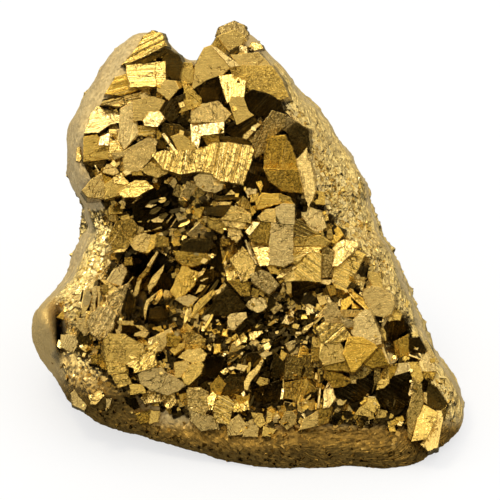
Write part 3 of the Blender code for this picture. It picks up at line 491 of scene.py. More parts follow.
# Each line is one facet: its look, how far it stands above the rock, and its corners across and up the
# face in mm. Some have growth lines (direction, spacing and tilt), another tone, or cracks.
BLOCKS = """
# the peak at the top
tan 0.5; -4.5,60.6 -4.1,61.5 -2.3,62.2 -1,61.7 -0.5,60.6 -0.9,60 -2.2,60.7 -3.6,60.2; tone 0.2; cracks 1
tan 2.4; -4.4,60.1 -3.6,60.4 -2.2,60.9 -0.8,60.1 -1.3,59 -2.8,58.2
brown 2.2; -5.1,58.8 -4.5,60 -2.8,58.2 -3.4,57.8 -4.8,58.2
white 2; -1.6,58.3 -1.2,58.8 -0.6,58.6 -0.5,58 -1,57.7
glare 0.7; -0.6,58.9 0.4,59.4 1.4,59.1 1.7,58.6 0.6,58.4; cracks 0.8; tone 0.4
dark 2; -2.7,58.2 -1.7,58.7 -1.5,58 -2.4,57.7
# below the peak
tan 3.6; -8,53.1 -7.4,56 -6.4,58.3 -5.4,58.7 -2.8,55.9 -4.4,54.5 -7.4,53; cracks 0.2
black 3.7; -7.1,55.9 -6.6,56 -6.1,55.2 -6.5,55
pale 3.3; -5.3,58.7 -4.6,58.5 -1.4,56.1 -2.8,55.9
tan 3.3; -2.5,57.5 1,57.7 2.2,56.6 2.8,55.8 -1.3,56
gold 3.2; -2.8,55.9 2.9,55.8 4.2,54 5.2,51.8 4,51.4 0.5,52.6 -2.2,54.6; cracks 0.8; lines 10 0.5 4
black 1.2; -7.4,52.9 -5.9,53.8 -4.4,54.4 -3.2,51 -4.5,51 -6.2,50.7
glare 2.4; -4.2,54.5 -2.4,54.6 -0.8,53.8 -1,51.8 -3.1,51; cracks 0.5; lines 80 0.4 18; tone 0.4
black 1.2; -0.9,51.8 0.5,52.5 2.2,52 4,51.3 4.7,49.3 2.4,48.1 1.3,48 -0.4,49.8; lines 50 0.5 8
white 1.5; -0.6,52.2 0.1,52.6 0.3,52.3 -0.4,51.9
tan 2.6; -2.5,51.5 -1,51.4 -0.5,49.8 0.3,49.2 -1.8,48 -2.6,50.5
light 3; -8,49.5 -6.4,50.5 -4.6,50.9 -2.8,49.3 -3.9,48.2 -8,48.2; cracks 0.5
glare 3; -8.1,48.1 -3.8,48 -3.9,46.6 -6.6,46.3 -7.1,44.6 -8,45.4; lines 86 0.5 8; tone 0.15
black 1.6; -3.3,47 -2.4,47.9 0.3,49.2 0.8,48 -0.8,45.9 -2.2,46; lines 40 0.4 10
light 3; -0.9,46 -0.7,46.5 0.9,47.9 1.4,47.7 -0.4,45.8
brown 1.8; -6.8,46.4 -4.2,46.3 -4,45.2 -5.8,45.1; cracks 1
dark 1.6; -4.1,46.2 -0.8,45.9 0,45.3 -0.1,44.8 -4,45.2; lines 0 0.3 8
slate 2.8; 0.2,44.2 0.9,46.5 2,48 3,49.5 4.8,49 4.6,47.4 2.6,46 2.3,44.3 0.8,43.3; lines 66 0.3 20;
    cracks 1; tone 0.25
slate 2.8; 4.8,49 6.3,48.2 5.4,46.6 4.6,47.4; lines 62 0.3 12
light 2.6; 4.9,49.6 5.3,49.8 8,47.5 7.8,47.1; tone 0.1
dark 2.2; 5.3,47 6.4,48 8,47 8.2,44.4 7.3,43.2 6.4,43.9 5.8,45; lines 60 0.4 14
rust 3.4; 2.6,46 4.8,46.1 5.6,44.6 6.1,43 6.5,41.4 2,41.6 2.2,43.2 2.4,44.4; lines 80 0.4 5; cracks 1
amber 3.3; 6.5,41.3 7,39 6.9,38.4 5.5,38.6 4.6,38.8 3,39.8 2,41.6; lines 80 0.5 4; cracks 0.7
black 1; 0.4,44.1 0.9,43.1 2,41.6 3,39.7 4.6,38.9 3.8,38.1 1.6,38.1 -0.8,38.8 -1.1,39.6; lines 66 0.5 6
yellow 1.6; 0.6,40.1 1.1,41 1.4,40.2 1.7,39.4 1.5,38.4 1.1,39.4
pale 2.6; 6.4,42.6 7,43.2 7.9,44.4 8.3,42.5 8.5,41 9,39 8.6,37.6 8.1,36.5 7.3,39 6.6,41
# the large striated slab and what lies below it
bright 3.5; -13.4,43.6 -12,44.1 -10,44.1 -6.8,44.2 -5.6,45.1 -4.6,45.1 -5.3,41.1 -7.4,41.5 -9.4,41.1
    -11.8,41.7; lines 75 0.3 38; cracks 1; tone 0.4
bright 3.7; -5.2,45.1 -3,45.1 -0.1,44.7 0.35,44.1 -0.2,42.2 -1.1,39.6 -2.2,39.9 -4,40.1 -4.8,40.7
    -5.8,42; lines 75 0.26 44; tone 0.6; cracks 0.9
tan 2.4; -7.6,40.4 -6,41.4 -5.3,41 -4,40 -3.6,39.1 -5,38.5 -6.3,38.8 -7.3,39.4; tone 0.2
black 1; -4,40.1 -2,39.7 -1.2,39.6 -0.7,38.7 -1.6,38.3 -2.8,38.9 -3.4,39
pale 1.4; -2.4,39.1 -2,39.5 -1.8,39.2
light 2.2; -3.4,38 -2.6,38.7 -1.8,38.1
dark 2; -4.8,37.9 -1,37.9 -1.2,37.4 -4.7,37.2; lines 0 0.3 8
light 2.6; -5.4,36.6 -5,37.1 -2.6,37.1 -2.9,36.6
dark 2.4; -5.9,36.3 -2.6,36.5 -3.2,35 -5.7,35.4; lines 3 0.35 10
brown 2.2; -1.6,36.9 -0.9,37.6 -0.2,37 -0.1,36.3 -1,36; lines 70 0.25 12
light 2; -0.6,38.7 -0.1,38.9 0.9,38.7 0.8,38.2 -0.2,37.7; tone 0.1
gold 2.2; 0.2,38 1.2,38.2 1,37.2 0.1,37.1
tan 2.8; 0.9,37.2 1.8,38.1 4.1,38.1 4.1,36.9 1.2,36.1; tone 0.85; lines 0 0.5 5
brown 2.7; 4.1,38.1 5.4,37.6 6,36.7 4.1,36.8
gold 2; 0.1,36.3 0.8,36.5 0.8,35.7 0.2,35.1
black 0.8; 4.9,38.5 6.6,38 6.4,36.6 7,35.6 7,34.9 6.4,34.3 5.9,35 6.1,36.4
black 1; 0.9,36.1 4.2,36.8 4.2,36.5 1.2,35.7 0.6,34.5 0.3,35.1
tan 3; -3,35.4 -2.4,36.3 -1.4,36.1 0,35.4 -0.1,34.2 -3.9,34.7; cracks 0.6
light 2.9; -3.9,34.6 -0.1,34.2 -0.6,33.5 -1.6,33.4 -3.2,33.7; cracks 0.8
light 2.6; -2.8,33.2 -1.6,33.4 -1.2,32.4 -1.9,31.6 -2.8,32.3; cracks 0.8
brown 2.2; -5.8,34.8 -4.2,34.6 -3.4,33.6 -4,32.8 -5.4,33.6; cracks 0.6
black 1.4; -3.1,33.6 -2.5,33.4 -3,32.6 -4.4,32.6
black 1.2; -1.4,33.2 -0.6,33.6 -0.3,33.1 -0.7,31.1 -1.7,31
pale 3; -2.5,36.1 -2,36.6 -1.6,36.2
light 2.8; 1.3,35 2.2,35.8 3.6,36.1 3.8,34.2 1.6,34.5; tone 0.5
tan 3.3; 3.7,36.1 4.6,36.6 6,36.6 6,34.1 3.8,34.2; tone 0
tan 3.4; 3.1,33.9 3.9,34.2 6,34 5.8,33.2 5.9,29 4.6,28.3 2.8,28.6 2.9,31.2; tone 0.15; cracks 0.5
white 2.6; -0.6,33 0.6,34.5 1.7,34.7 1.2,34 0,32.5
brown 2.5; 0,32.3 1.2,33.9 2,34.1 3.1,33.9 3,32 2.8,31.3 0.5,31.7; cracks 0.7
black 2.8; 2.7,32 2.8,32.6 3.1,32.5 3,32
white 3; 0.2,31.3 0.9,31.6 2.9,31.2 2.9,30 2.4,28.4 1.4,28.4; tone 0.3
pale 2.6; -0.8,31.8 -0.5,31.8 0.3,29.8 1.2,28.3 0.8,28.4 -0.1,29.9
light 3; -2.6,29 -2,29.4 -1,30.7 0,29.6 0.7,29.3 0.8,28.6 0.3,27.2 -0.4,26.4 -0.9,26.2 -1.5,27.6; tone 0.5
white 3.1; -2.2,28.3 -1.9,28.3 -1.1,26.3 -1.3,26.1
brown 2.2; -2.9,26 -1.4,26.1 0,25.8 -0.2,24.2 -1.2,24.2; cracks 0.9
rust 2.6; 0.1,26.9 1.7,27.4 2.6,27 3.8,25.6 3.2,25 2.6,24.4 1.7,25.1 0.6,25.8; lines -42 0.35 12; tone 0.2
dark 2.4; 0.2,28.1 0.9,28.3 1.9,27.6 1.7,27.3 0.2,27
black 1.6; 1.4,28.5 2.2,28.4 4.1,26 3.8,25.7 2.2,27.6
gold 2.6; 2.2,28.4 4.5,28.2 4,27 3,27.3
yellow 2; -3.9,28.6 -3.2,30.3 -2.9,30.1 -3.5,28.6; tone 1
dark 1.6; -9,31.9 -5.4,31.9 -4.9,30.9 -6.5,30.2 -9.4,30.4
black 1; -4.7,31.3 -4,31.3 -3.9,27.6 -5.2,27.6 -5.8,28.9
brown 1.8; -4,31.9 -3,31.8 -2.8,31.2 -3.8,31
# the upper left
bright 2.2; -17.8,56.3 -16,58.2 -14.8,60 -13.8,60.8 -12.5,60.5 -11.8,58.8 -14,57.6; lines 26 0.35 30;
    tone 0.7; cracks 0.9
dark 2; -17.4,56.2 -14.6,57.3 -11.9,58.8 -11.6,57.9 -14.4,56.6 -17.3,55.7
glare 3; -17,55 -17,56 -12,56.5 -12,54 -13.2,53.2 -16.6,53; lines 4 0.4 15; tone 0.4; cracks 0.6
dark 2.6; -12,54 -10.1,53.9 -9.9,55.5 -9.6,56.3 -10,57.3 -11.3,58.2 -12,56.8; lines 0 0.35 6
tan 2.4; -9.8,53.7 -9.7,56.4 -8.2,56.3 -7.9,55 -8.2,53.8; tone 0.6
gold 2.2; -20,52.2 -18.6,54.3 -17,54.8 -16.8,53.1 -14.8,52.9 -18,52.1; lines 14 0.35 20
dark 1.8; -18.9,54.4 -17,55.1 -16.9,54.7 -18.6,53.9
dark 1.6; -20.4,51.4 -18,52.1 -14.8,53.1 -14.8,52.6 -18,51.6
light 2.4; -20.6,50.7 -20.2,51.2 -15.2,52.4 -15.2,51.6 -18,50.5; lines 12 0.25 28; cracks 0.8
glare 2.4; -22.9,46.8 -22,49.3 -21.2,50.3 -20,49.7 -18,49.4 -18,48.3 -19.8,48 -21,47; lines 15 0.4 12;
    tone 0.2; cracks 0.6
light 2.8; -18,49.8 -16.2,51 -15.6,46.6 -17.5,44.4 -18.2,46; tone 0.1; lines 78 0.6 8; cracks 0.3
tan 3; -16,51 -13.5,51.5 -12,51 -13,49.6 -14.6,48.6 -16,48.4; cracks 0.3
white 3; -14.6,48.4 -13.9,49.4 -12.6,49.4 -12,48.6 -13,47.7 -14.4,47.8
gold 2.4; -15.4,47.6 -13.2,47.6 -13.5,46.2 -15.2,46.4; lines 5 0.3 18
tan 3.2; -12.6,53 -11.8,53.8 -10.4,53.7 -9.9,53 -11.3,51.4 -12.7,52.5
dark 1.8; -12.8,49.9 -11.8,50.8 -9.2,52 -9.2,51.3 -10.6,50.5 -10,49.2 -11,48.2; lines 60 0.4 14
gold 2.4; -9.2,53 -8.4,53 -7,51.5 -7,50.6 -9.8,49.6 -9,51.2
bright 2.2; -9.9,50.8 -9.3,51 -9.1,50.4 -9.7,50.2
dark 1.8; -12.1,48 -10,47.6 -8.3,46.4 -10.8,45.9 -12,46.5; cracks 1
tan 2.8; -10.8,46 -9.6,46.4 -8,45.2 -7.6,44.4 -9.8,44.2; tone 0.6
white 2.6; -12.3,46.4 -11.8,46.6 -10.2,44.2 -10.6,44.1
dark 1.6; -12.9,45.6 -12.2,45.5 -11.5,44.4 -12.8,44.6
grey 2.8; -19,43.9 -17.5,44.1 -14,46.2 -12.6,45.4 -13.3,45 -15.8,44.3 -17,43.5 -18.6,43; tone 0.25
tan 2.8; -18.6,42.1 -17,43.5 -15.8,44.3 -13.3,45 -13.3,43.9 -14.5,42.6 -15.5,41.6 -17,41.3; tone 0.2;
    cracks 0.5
bright 2.2; -19.6,47 -18.2,47 -17.8,44.2 -18.4,43 -19.6,43.2; lines 8 0.35 30; tone 0.5; cracks 0.9
light 2.4; -19.4,42.4 -18.6,43 -17.1,43.4 -18.5,42; tone 0.5
tan 2.4; -23,46 -21.3,46.3 -20.9,45 -19.8,44.9 -19.6,43.2 -23,42.9; tone 0.7
brown 2.5; -21.5,44.4 -19.7,44.9 -19.7,44.4 -21.4,44
dark 2; -23,46.1 -22.9,46.5 -20.9,46.8 -21,46.3
white 2.5; -21,45.1 -20.7,46.6 -19.6,46.6 -19.8,45.1
dark 1.4; -23.2,42.8 -21.5,43.1 -19.6,43.1 -19.6,42.3 -20.6,41.8 -23,42.4; lines 4 0.3 12
black 1.2; -23,42.1 -22,42.3 -21.9,40.9 -22.2,40.4
pale 1.4; -21.8,42.3 -21.5,42.2 -21,41.3 -21.2,41.2
light 1.8; -20.4,41.6 -19.8,42.3 -18.4,42.2 -18.4,41.8
bright 0.7; -24.3,43 -24.2,44.6 -23.8,44.7 -23.6,43.2 -23.9,42.8
# the middle left
tan 2.4; -23.2,38.7 -22,40 -20.6,41 -20,39.5 -20.2,37.6 -22.5,37.8; tone 0.35
amber 2.2; -20.6,41 -19.2,40.2 -19.7,39.6 -20.1,39.4
light 2.4; -20.4,41.1 -20.1,41.5 -18.8,41.8 -18.2,41.1 -19.4,40.8
black 1.8; -19.6,40.8 -18.5,40.7 -19.2,40.2
bright 2.8; -18.9,40.3 -18.2,41 -17.8,40.9 -17,39.8 -17.6,39.6 -18.7,39.8
gold 2.6; -20,39.4 -18.9,40.2 -18.7,39.7 -17.6,39.5 -18,38.2 -20,37.6; tone 0.6
black 1; -18.6,41.6 -17,41 -16.2,40.8 -15,40.5 -16,39.7 -16.9,39.9 -17.6,40.8
gold 2; -16.6,41.4 -15,41.5 -15,40.8 -16.2,40.8
black 1.6; -15,41.2 -14.2,40.8 -14.4,40.5 -15,40.7
tan 2.4; -15,41.5 -13.6,42.4 -12.2,42 -11.2,41.3 -13,40.6 -14.2,41; cracks 0.7
yellow 3; -18.1,38.4 -17.2,39.2 -16,39.8 -14.7,39.9 -13.6,39 -14.4,38.7 -15.8,38 -17.4,37.8; lines 20
    0.4 8; tone 0.55
white 2.9; -16,37.9 -14.4,38.9 -14.2,38.7 -15.5,37.7 -16,37.7
tan 1.6; -17.8,37 -17.4,36.2 -18.2,36.1
black 0.8; -17.3,37.5 -16.2,37.2 -13.6,38.9 -12.2,39.4 -11,38.4 -10.4,36.4 -12,35.8 -15,36 -17,36.4;
    lines 38 0.5 8
black 0.8; -16.2,35.9 -10.4,35.9 -9.8,33.4 -11.4,32.4 -13,33 -15.9,34; lines 50 0.5 8
light 1.6; -16.4,37 -14,38.7 -13.9,38.6 -16.3,36.8
light 1.6; -11.7,34.3 -10.4,35.9 -10.2,35.8 -11.5,34.1
light 1.6; -11.5,33.1 -10.3,34.9 -10.1,34.8 -11.3,33
light 1.8; -16,34.6 -15,35 -14.3,35.4 -14.3,34.1 -15.6,34.4
light 1.8; -14,34.8 -12.8,35.1 -11.7,35 -12.4,34.3 -13.4,34.3
tan 1.8; -15.8,33.8 -14.9,33.9 -14.9,32.8 -15.6,32.7
light 1.8; -15,33.1 -12.4,33.7 -12.3,33.4 -14.8,32.8
pale 1.6; -14.6,36.4 -14,36.8 -13,36.7 -13.8,36.3
brown 2; -18.5,34.2 -16.6,34.6 -15.8,33.6 -16,32.6 -17.2,30.9 -18.9,30.3 -19.6,32; cracks 1; lines 60 0.4 14
gold 1.8; -18.3,35 -17,35.3 -16.8,34.8 -17.6,34.5
light 2.4; -16.6,31.4 -15.8,32.2 -14.8,32.6 -14,32.3 -14.6,30.1 -16,30.6
light 2.4; -14,32.3 -12.8,32.6 -13.3,31 -14.2,30.1 -14.5,30.2; tone 0.7
brown 2; -12.9,32.4 -11.6,32 -11.4,31 -13.2,30.9
bright 2; -19,30 -18.8,30.3 -17.1,31 -16.9,30.9 -17.6,30.2
bright 1.8; -9.6,31.8 -9.3,32.4 -8.8,32.3 -9,31.8
# the lower left, with the hollow
gold 0.9; -26.9,21 -26,22 -26,20.7
white 0.9; -26.9,17 -26.8,17.8 -26.3,17.7 -26.5,16.6
grey 1.4; -24,20.6 -22.9,20.9 -22.5,20.6 -22.8,18.9 -23.2,18.9 -24,19.7; tone 0.15
tan 1.6; -23.5,22.4 -23.1,24.6 -22.6,25 -22.4,24.4 -22.9,22.2; tone 0.1
tan 1.5; -23.3,22.1 -22.9,22.1 -22.8,21.2 -23.4,21.2; tone 0.1
black 0.8; -23.7,23.4 -23.4,24.7 -23,24.7 -23.4,23.4
black 1; -22.3,24.6 -22,24.3 -22.4,20 -22.9,18.8
tan 1.9; -22.3,22 -21.9,25 -21.4,25.3 -21.3,24.4 -21.8,21.8; tone 0.1
tan 2; -21.2,22 -21.3,25.2 -20.9,25.2 -20.6,22.4; tone 0.15
brown 1.8; -20.8,25.3 -19.9,25.4 -19.8,24.2 -20.8,24.1; lines 90 0.25 16
light 2; -20.9,26.2 -20,26.1 -18.8,25.2 -18.3,24.6 -19.5,24.3 -19.8,25.3; tone 0.4
tan 2.4; -22,18.9 -22.4,20.5 -22,21.4 -21,22.2 -19.8,22.4 -18.6,21.2 -19.2,19.6 -20,18.5 -21,18.1; tone
    0.1; lines 62 0.35 10; cracks 1
tan 2.4; -19.6,23.8 -18.3,24.9 -17,25.6 -16.9,24.9 -17.6,22.8 -18.2,21.1 -19,21.7 -19.4,22.8; tone
    0.25; lines 58 0.4 10; cracks 1
tan 3; -19.8,26.2 -19,27.3 -17.9,28.3 -17.6,27.8 -17.3,27.3 -18.3,24.9 -18.6,25.3; tone 0.1
light 2.6; -18,24.8 -17.7,24.8 -16.2,26.6 -16.4,26.7
bright 1.8; -20.7,22.9 -20.3,23.1 -20,22.5 -20.5,22.3
brown 3; -17.5,28.3 -17.4,29.2 -16.6,29.3 -16.5,28.4
light 5; -14.3,28.3 -13,30.2 -12.8,29.9 -13.9,28
brown 5; -15.8,26.3 -14.6,27.7 -13.6,29.6 -14.2,27.4 -15.4,26
light 5; -14.2,25.4 -13.5,26.6 -12,28.3 -12.2,27.4 -13.1,25.8 -14,24.4; tone 0.4
tan 4.6; -16.4,24.2 -15.8,25.8 -15.2,26.2 -15.6,24.4 -16,23.9
light 4; -14.8,22 -14.4,23.3 -12.8,24.6 -12.9,24.4 -14,23.2 -14.3,22 -14.6,20.6
black 1.4; -17.9,21.5 -17,24.9 -16,23.2 -16.2,20.6 -17.6,20.6
black 2.2; -13.2,25.6 -12,27.2 -11,25.4 -11.6,24 -13.6,23.8
tan 2.8; -18,20.5 -16.4,20.5 -16.3,19.9 -18,20
white 2.8; -18.2,20.6 -18.1,21 -17.8,20.9 -17.8,20.1
tan 2.6; -16,19.9 -15,19.8 -14.2,19.2 -14.9,19.1
light 2.6; -16,18.5 -14.6,18.3 -14.1,18.9 -14.9,19.2 -15.8,18.8
black 1.2; -19,19.8 -18.4,21.2 -17.9,20 -16,19.8 -15,19 -16.6,18.5 -18.8,18.7
black 1; -14,20 -13.8,22 -12,22.4 -11,20.6 -12.6,19.4; lines 0 0.5 12
tan 3.2; -20.2,17.6 -19.4,18.6 -17.5,18.5 -16,17.6 -15,17.2 -15,16.6 -16,15.4 -17.2,14.8 -19.8,15.1
    -20.4,16; tone 0.55; cracks 0.7
gold 2.6; -19.8,14.7 -17.3,14.4 -17.1,13.4 -19.4,13.2; tone 0.6; cracks 0.8
gold 2.4; -19,12.9 -17.2,13.1 -16.6,11.9 -18.2,11.4; tone 0.6; cracks 0.8
light 2.4; -16.6,11.7 -15,11.6 -14.6,10.6 -16.4,10.4; tone 0.6
black 1.2; -17,14.3 -16.4,14.2 -15.9,13.1 -16.8,12.9
bright 3; -15.9,13.5 -16,14.6 -14.8,16.2 -13.8,17.6 -12.8,17.4 -13.4,15.6 -13,14.4 -14.4,14; lines 50
    0.35 20; tone 0.6; cracks 1
bright 2.6; -17.1,14.5 -16.2,15.3 -15.7,15 -15.9,13.8; cracks 0.7
grey 2.8; -15.8,12.9 -14,13.9 -12.6,14.1 -11.8,13.2 -12.4,11.6 -13.6,11 -14.9,11.9; cracks 0.3
grey 2.7; -12.4,11.6 -11.8,13.2 -10.4,12.6 -9,11.6 -10.2,10.9 -11.4,10.4 -13.4,10.9; tone 0.15; cracks 0.4
tan 1.4; -26.2,18.4 -24.4,18.4 -24.2,17.2 -24.8,16.3 -26.2,16.9; tone 0.05; lines 66 0.4 12
dark 1; -23.9,17 -22.6,17.4 -22,16.4 -23.4,15.4; cracks 1
light 1.6; -23.6,16.7 -22.8,17.1 -22.2,16.8 -22.9,16.2; tone 0.6
dark 1; -24,19 -22.8,18.6 -22.2,17.6 -23,17.3 -24,18
brown 1.6; -22,15.6 -20.6,15.8 -20.4,14.5 -21.8,14.6; cracks 1
black 1.4; -22.4,14.6 -20.4,14.1 -20.6,13.9 -22.2,14.2
tan 0.5; -24.8,10.2 -24,11.2 -23,10.6 -22.7,9 -23.2,8.2 -24.6,8.9; tone 0.15
bright 1.4; -22.2,10.1 -21,10.7 -20.5,10.4 -20.4,10.1 -21.4,9.1 -22,9.1
tan 0.9; -20,9.6 -19.2,9.7 -19.4,8.4 -20,8.1; tone 0
tan 0.9; -13.9,8 -12.6,7.8 -12.9,6.6 -13.9,6.3; tone 0.6
brown 0.8; -15.9,7.6 -14,7.9 -13.9,6.4 -15.2,6.4; tone 1
bright 2; -15,9.8 -14.2,10.7 -12.6,10.4 -12.8,9.4 -14.4,9.2; cracks 0.9
bright 2; -12.7,9.5 -12.5,10.3 -10.7,10.3 -10.4,9 -11.4,8.6; cracks 0.9
black 0.5; -17.4,9.9 -16,9.6 -15.5,8.6 -16.2,8.3 -17,9
# the middle, between the hollow and the foot
light 3.2; -10.9,24.8 -9.5,27.8 -9.3,28.4 -8.3,27.4 -7.4,27.2 -7.6,26.4 -8,25.5 -9,24.4 -10.1,23.6; tone 0.9
tan 2.2; -10.3,23.5 -9.2,22.9 -8.3,22.5 -7.9,23.2 -7.3,23.7 -8.5,24 -9.6,23.8; tone 0.1
light 3; -8,21.3 -7.6,22.6 -6.8,23.5 -5.2,24.8 -4.9,24.2 -5.8,23.3 -7,22.1 -7.8,21.1; tone 0.7
pale 3; -5,23.9 -4.9,24.7 -4.2,25 -3.6,25.8 -3.3,25.4 -4.2,24.5; tone 0.3
tan 2; -8.8,21.2 -8.2,22.4 -8,21.6 -7.2,21.6 -7.3,20.9 -8,21.1
pale 3; -7.5,26.4 -7.3,27.2 -6.1,27.9 -6.6,27; tone 0.3
light 2.4; -7.6,24.3 -6.9,25.5 -6.1,25.4 -6.8,24.7; tone 0.6
pale 2.6; -7,26.1 -6.2,26.6 -5.8,26.5 -6.6,26
light 2.4; -5.6,27.7 -5.2,28.5 -4.7,28.7 -4.9,28
bright 2.4; -5.7,29.5 -5.3,29.9 -4.8,29.7 -5.2,29.3
amber 2; -10.5,30.2 -9,30.1 -6.5,30.1 -5.5,29.4 -6,28.8 -8,28.3 -9.2,28.4 -10,29; lines 10 0.4 8
black 1.4; -7.3,26.2 -6,27.4 -4.4,27.6 -4,26 -5,25 -6.4,24.8 -7.6,24
dark 1.6; -6.6,21.2 -3.3,25.2 -2,24 -0.5,22.4 -3,21.6; cracks 1; lines 40 0.4 8
light 2.4; -0.3,22.7 0,23.2 0.6,23.5 1.4,23.6 2,23.3 2.1,22.5 1.6,22.1 1,21.9 0.2,22.3; tone 0.05
light 2.6; -2.9,21 -2.5,21.4 -0.7,21.6 -0.7,20.9 -1.6,20.2 -2.1,19.5 -3,19.5; tone 0.15
bright 2.2; -6.7,19.2 -6.7,19.8 -6.2,19.8 -6.4,19.2
yellow 2.2; -4.7,20 -4.3,20.4 -4,20
yellow 2.2; -3.9,18.6 -3.7,19.3 -3.2,19.3 -3.2,18.4
bright 2.6; -2.4,17.4 -1.6,18.1 -1.2,17.4 -1.8,17
white 2.8; -1.5,18.2 -0.9,18.8 -0.5,18.1 -0.6,17.6 -1.2,17.7; tone 0.5
white 2.8; 0,18.8 0.6,18.9 1.5,19.1 1.7,18.8 0.6,18 0,17.9; tone 0.4
white 2; 2.1,19.1 2.4,19.5 2.5,19
white 2; 3.4,20.2 3.6,20.7 3.9,20.3
white 2; 2.4,21.3 3.2,21.3 3,20.8
white 2.8; 4.6,20.3 5.2,21.5 5.7,22 6,21.6 6,20.6 5.4,20.2
brown 2.2; -9.2,18.6 -8,19 -6.4,18 -6.6,17 -9.2,16.6; cracks 1; lines 30 0.4 14
grey 2.6; -13.9,18 -11,19.4 -10.9,18.2 -12.2,16.6 -12.8,16.4; tone 0.3
brown 2.8; -11.4,17.2 -11.4,18.6 -10.4,18.8 -9.8,18 -10.4,17; tone 1
gold 2.8; -11,16.5 -10.4,17.1 -9.2,17.4 -9.4,16.2 -10.4,15.9
light 3.2; -9.8,15.5 -8.6,16.4 -7,16.6 -6.2,15.9 -6.6,15.1 -7.8,14.8 -8.8,15.2; tone 0.5
light 3.2; -8.2,14.3 -7,14.8 -6.6,14.2 -7,13.2 -8.4,11.8 -9,12 -9.3,12.8; tone 0.6
tan 3.1; -10.4,14.6 -8.9,14.9 -8.5,14.3 -9.6,12.9 -10.3,12.8; tone 0.5; cracks 0.3
yellow 2.8; -5,16 -4.9,17.2 -4.2,17.2 -4.1,16.2
white 2.6; -4.2,15.8 -3.8,16.2 -3.4,15.9 -3.6,15.6
bright 2.6; -6,16.8 -5.8,17.3 -5.4,17 -5.5,16.4
black 0.8; -7.9,12.2 -6.5,13.9 -5.4,15.4 -4,15.7 -3.8,14.6 -4.4,12.8 -6,11.8
black 1.4; -1.2,15 0,15.9 1.4,16.1 1.9,15.6 1.4,14.8 0,14.3
pale 3; -0.7,12.2 0,13.3 0.6,13.8 1.6,15.2 1.8,14.8 1.1,13.4 0.1,12.2 -0.3,11 -0.7,11.2; tone 0.4
light 2.4; -1.9,13.9 -1.6,14.5 -0.3,14.3 -0.9,13.6
pale 2.2; -3.1,14 -2.4,14.2 -1.9,14 -2.6,13.7
yellow 2.2; -2.6,13.2 -2.3,13.6 -2,13.2
tan 2.4; 1.4,15.9 2.1,16.2 3,16.2 2.9,15.9 1.9,15.4; tone 0.1
tan 2.6; 1,12 1.4,12.6 2.4,12.4 2.3,11.8 1.5,11.6; tone 0.7
white 2.4; -1.2,10.4 -0.9,10.7 -0.6,10.4 -0.9,10.1
amber 2; -5.3,11.6 -4.4,12.7 -3.6,11.7 -4.2,10.4 -5.3,10.6
dark 1.6; -4.2,10.4 -3.6,12 -2.6,13 -1,12.6 -0.9,11.2 -2.2,10; cracks 1
amber 2.2; -2,10.3 -1.2,10 -0.2,10.1 -0.3,9.5 -1.4,9
bright 2.6; -2.3,9.2 -1.9,9.5 -1.4,8.6 -1.2,8 -2.2,8; tone 0.6
bright 2.5; -1.4,8.9 -0.3,9.4 -0.2,8.3 -1.2,8.1; tone 0.6
white 2.6; -5.9,9.7 -5.2,10.6 -4.7,10.1 -5.2,8.4 -5.6,8.3; tone 0.4
gold 2.5; -5,8 -4.4,10.1 -3.2,9.9 -2.4,9.1 -2.6,8.2 -4,7.8; lines -28 0.4 16; tone 0.6
gold 2.1; -5,7.6 -2.7,7.9 -3.1,6.2 -4.4,6.6; lines -40 0.35 16; tone 0.6
grey 2.2; -8.6,10.8 -7,11.1 -6,10.5 -5.9,8.6 -6.4,7.6 -8.4,8.4; tone 0.3; cracks 0.8
grey 1.6; -8.4,8.2 -6.4,7.4 -5,7.2 -4.4,5.6 -6.8,5.4 -8,6.6; tone 0.2; cracks 0.5
bright 2.4; -8.6,11.3 -7,11.3 -7,10.9 -8.4,10.8; cracks 0.8
tan 1.4; -3,6.3 -1.6,7.4 -1,6.5 -0.6,5.9 -1.2,4.9 -2.9,4.7; tone 0.25
tan 1.2; -0.5,6.2 0.3,6.7 1,5.6 0.9,4.6 -0.8,4.6; tone 0.25
gold 1.7; 0.3,7.7 1.6,7.5 2,6.4 1.4,5.9 0.8,6.3; tone 0.6
light 1.6; 2.4,8 3,7.6 3,6.8 2.3,6.3; tone 0.6
tan 1.2; 2,5.8 3.5,5.4 2.8,4.6 1.8,4.6; tone 0.6
white 2.6; 4.2,9.7 4.4,11 4.8,11.2 4.6,9.7
tan 2.4; 4.5,11.3 4.5,12.8 4.7,12.8 4.8,11.4
white 2.6; 9.3,8.5 9.6,11.2 9.9,11 9.6,8.5
bright 2.4; 9,12.5 9.1,13.3 9.4,13.2 9.4,12.4
white 3; 10.2,8.6 10.4,10.6 10.9,12 11.4,11 11.7,9.9 11,8.8
black 1; 0.4,9.2 0.6,11 2.4,11.4 4,12.2 4.2,10 3.9,8.6 1.4,7.9
brown 1.8; 5,9.8 5,11.8 8.4,12.4 9,11 8.8,9.4 6.6,9.6; cracks 1; lines 70 0.5 12
black 1.2; 6.8,9.2 7.4,10 9,10.6 9,8.8
olive 2; 4.9,12.5 5.2,15.6 8.5,15.8 8.8,12.6; lines 75 0.4 16; cracks 1
dark 1.6; 3,12.6 3.4,16 4.8,15 4.6,13; lines 60 0.4 12
gold 2.4; 4.2,15.5 4.4,16.4 5.1,15.9 4.6,15
tan 2.4; 5.9,13.4 6.1,14.1 6.6,13.6 6.4,13; tone 0.6
rust 1.4; 4.3,6.5 5,7.7 6.4,8 6.2,6.4 5.2,5.6; tone 0.4
tan 1.5; 6.9,5.4 7.6,6.8 9.4,8 9.3,6; tone 0.3; cracks 0.4
brown 1.4; 9.4,7.9 10.6,8.6 11.4,8.4 10.8,6.6 9.4,6
light 2; 6.6,9.2 7.4,9.4 8.4,10.3 8.4,10 7.2,8.8
# the right
white 3; 3.7,26.5 4.4,27.5 6.3,28.4 6.3,27.9 4.6,26.7; tone 0.3
gold 3; 6,26.3 9.6,26.1 9.7,29.8 6.4,29.6 6.3,28.2; lines -36 0.35 12; tone 0.7
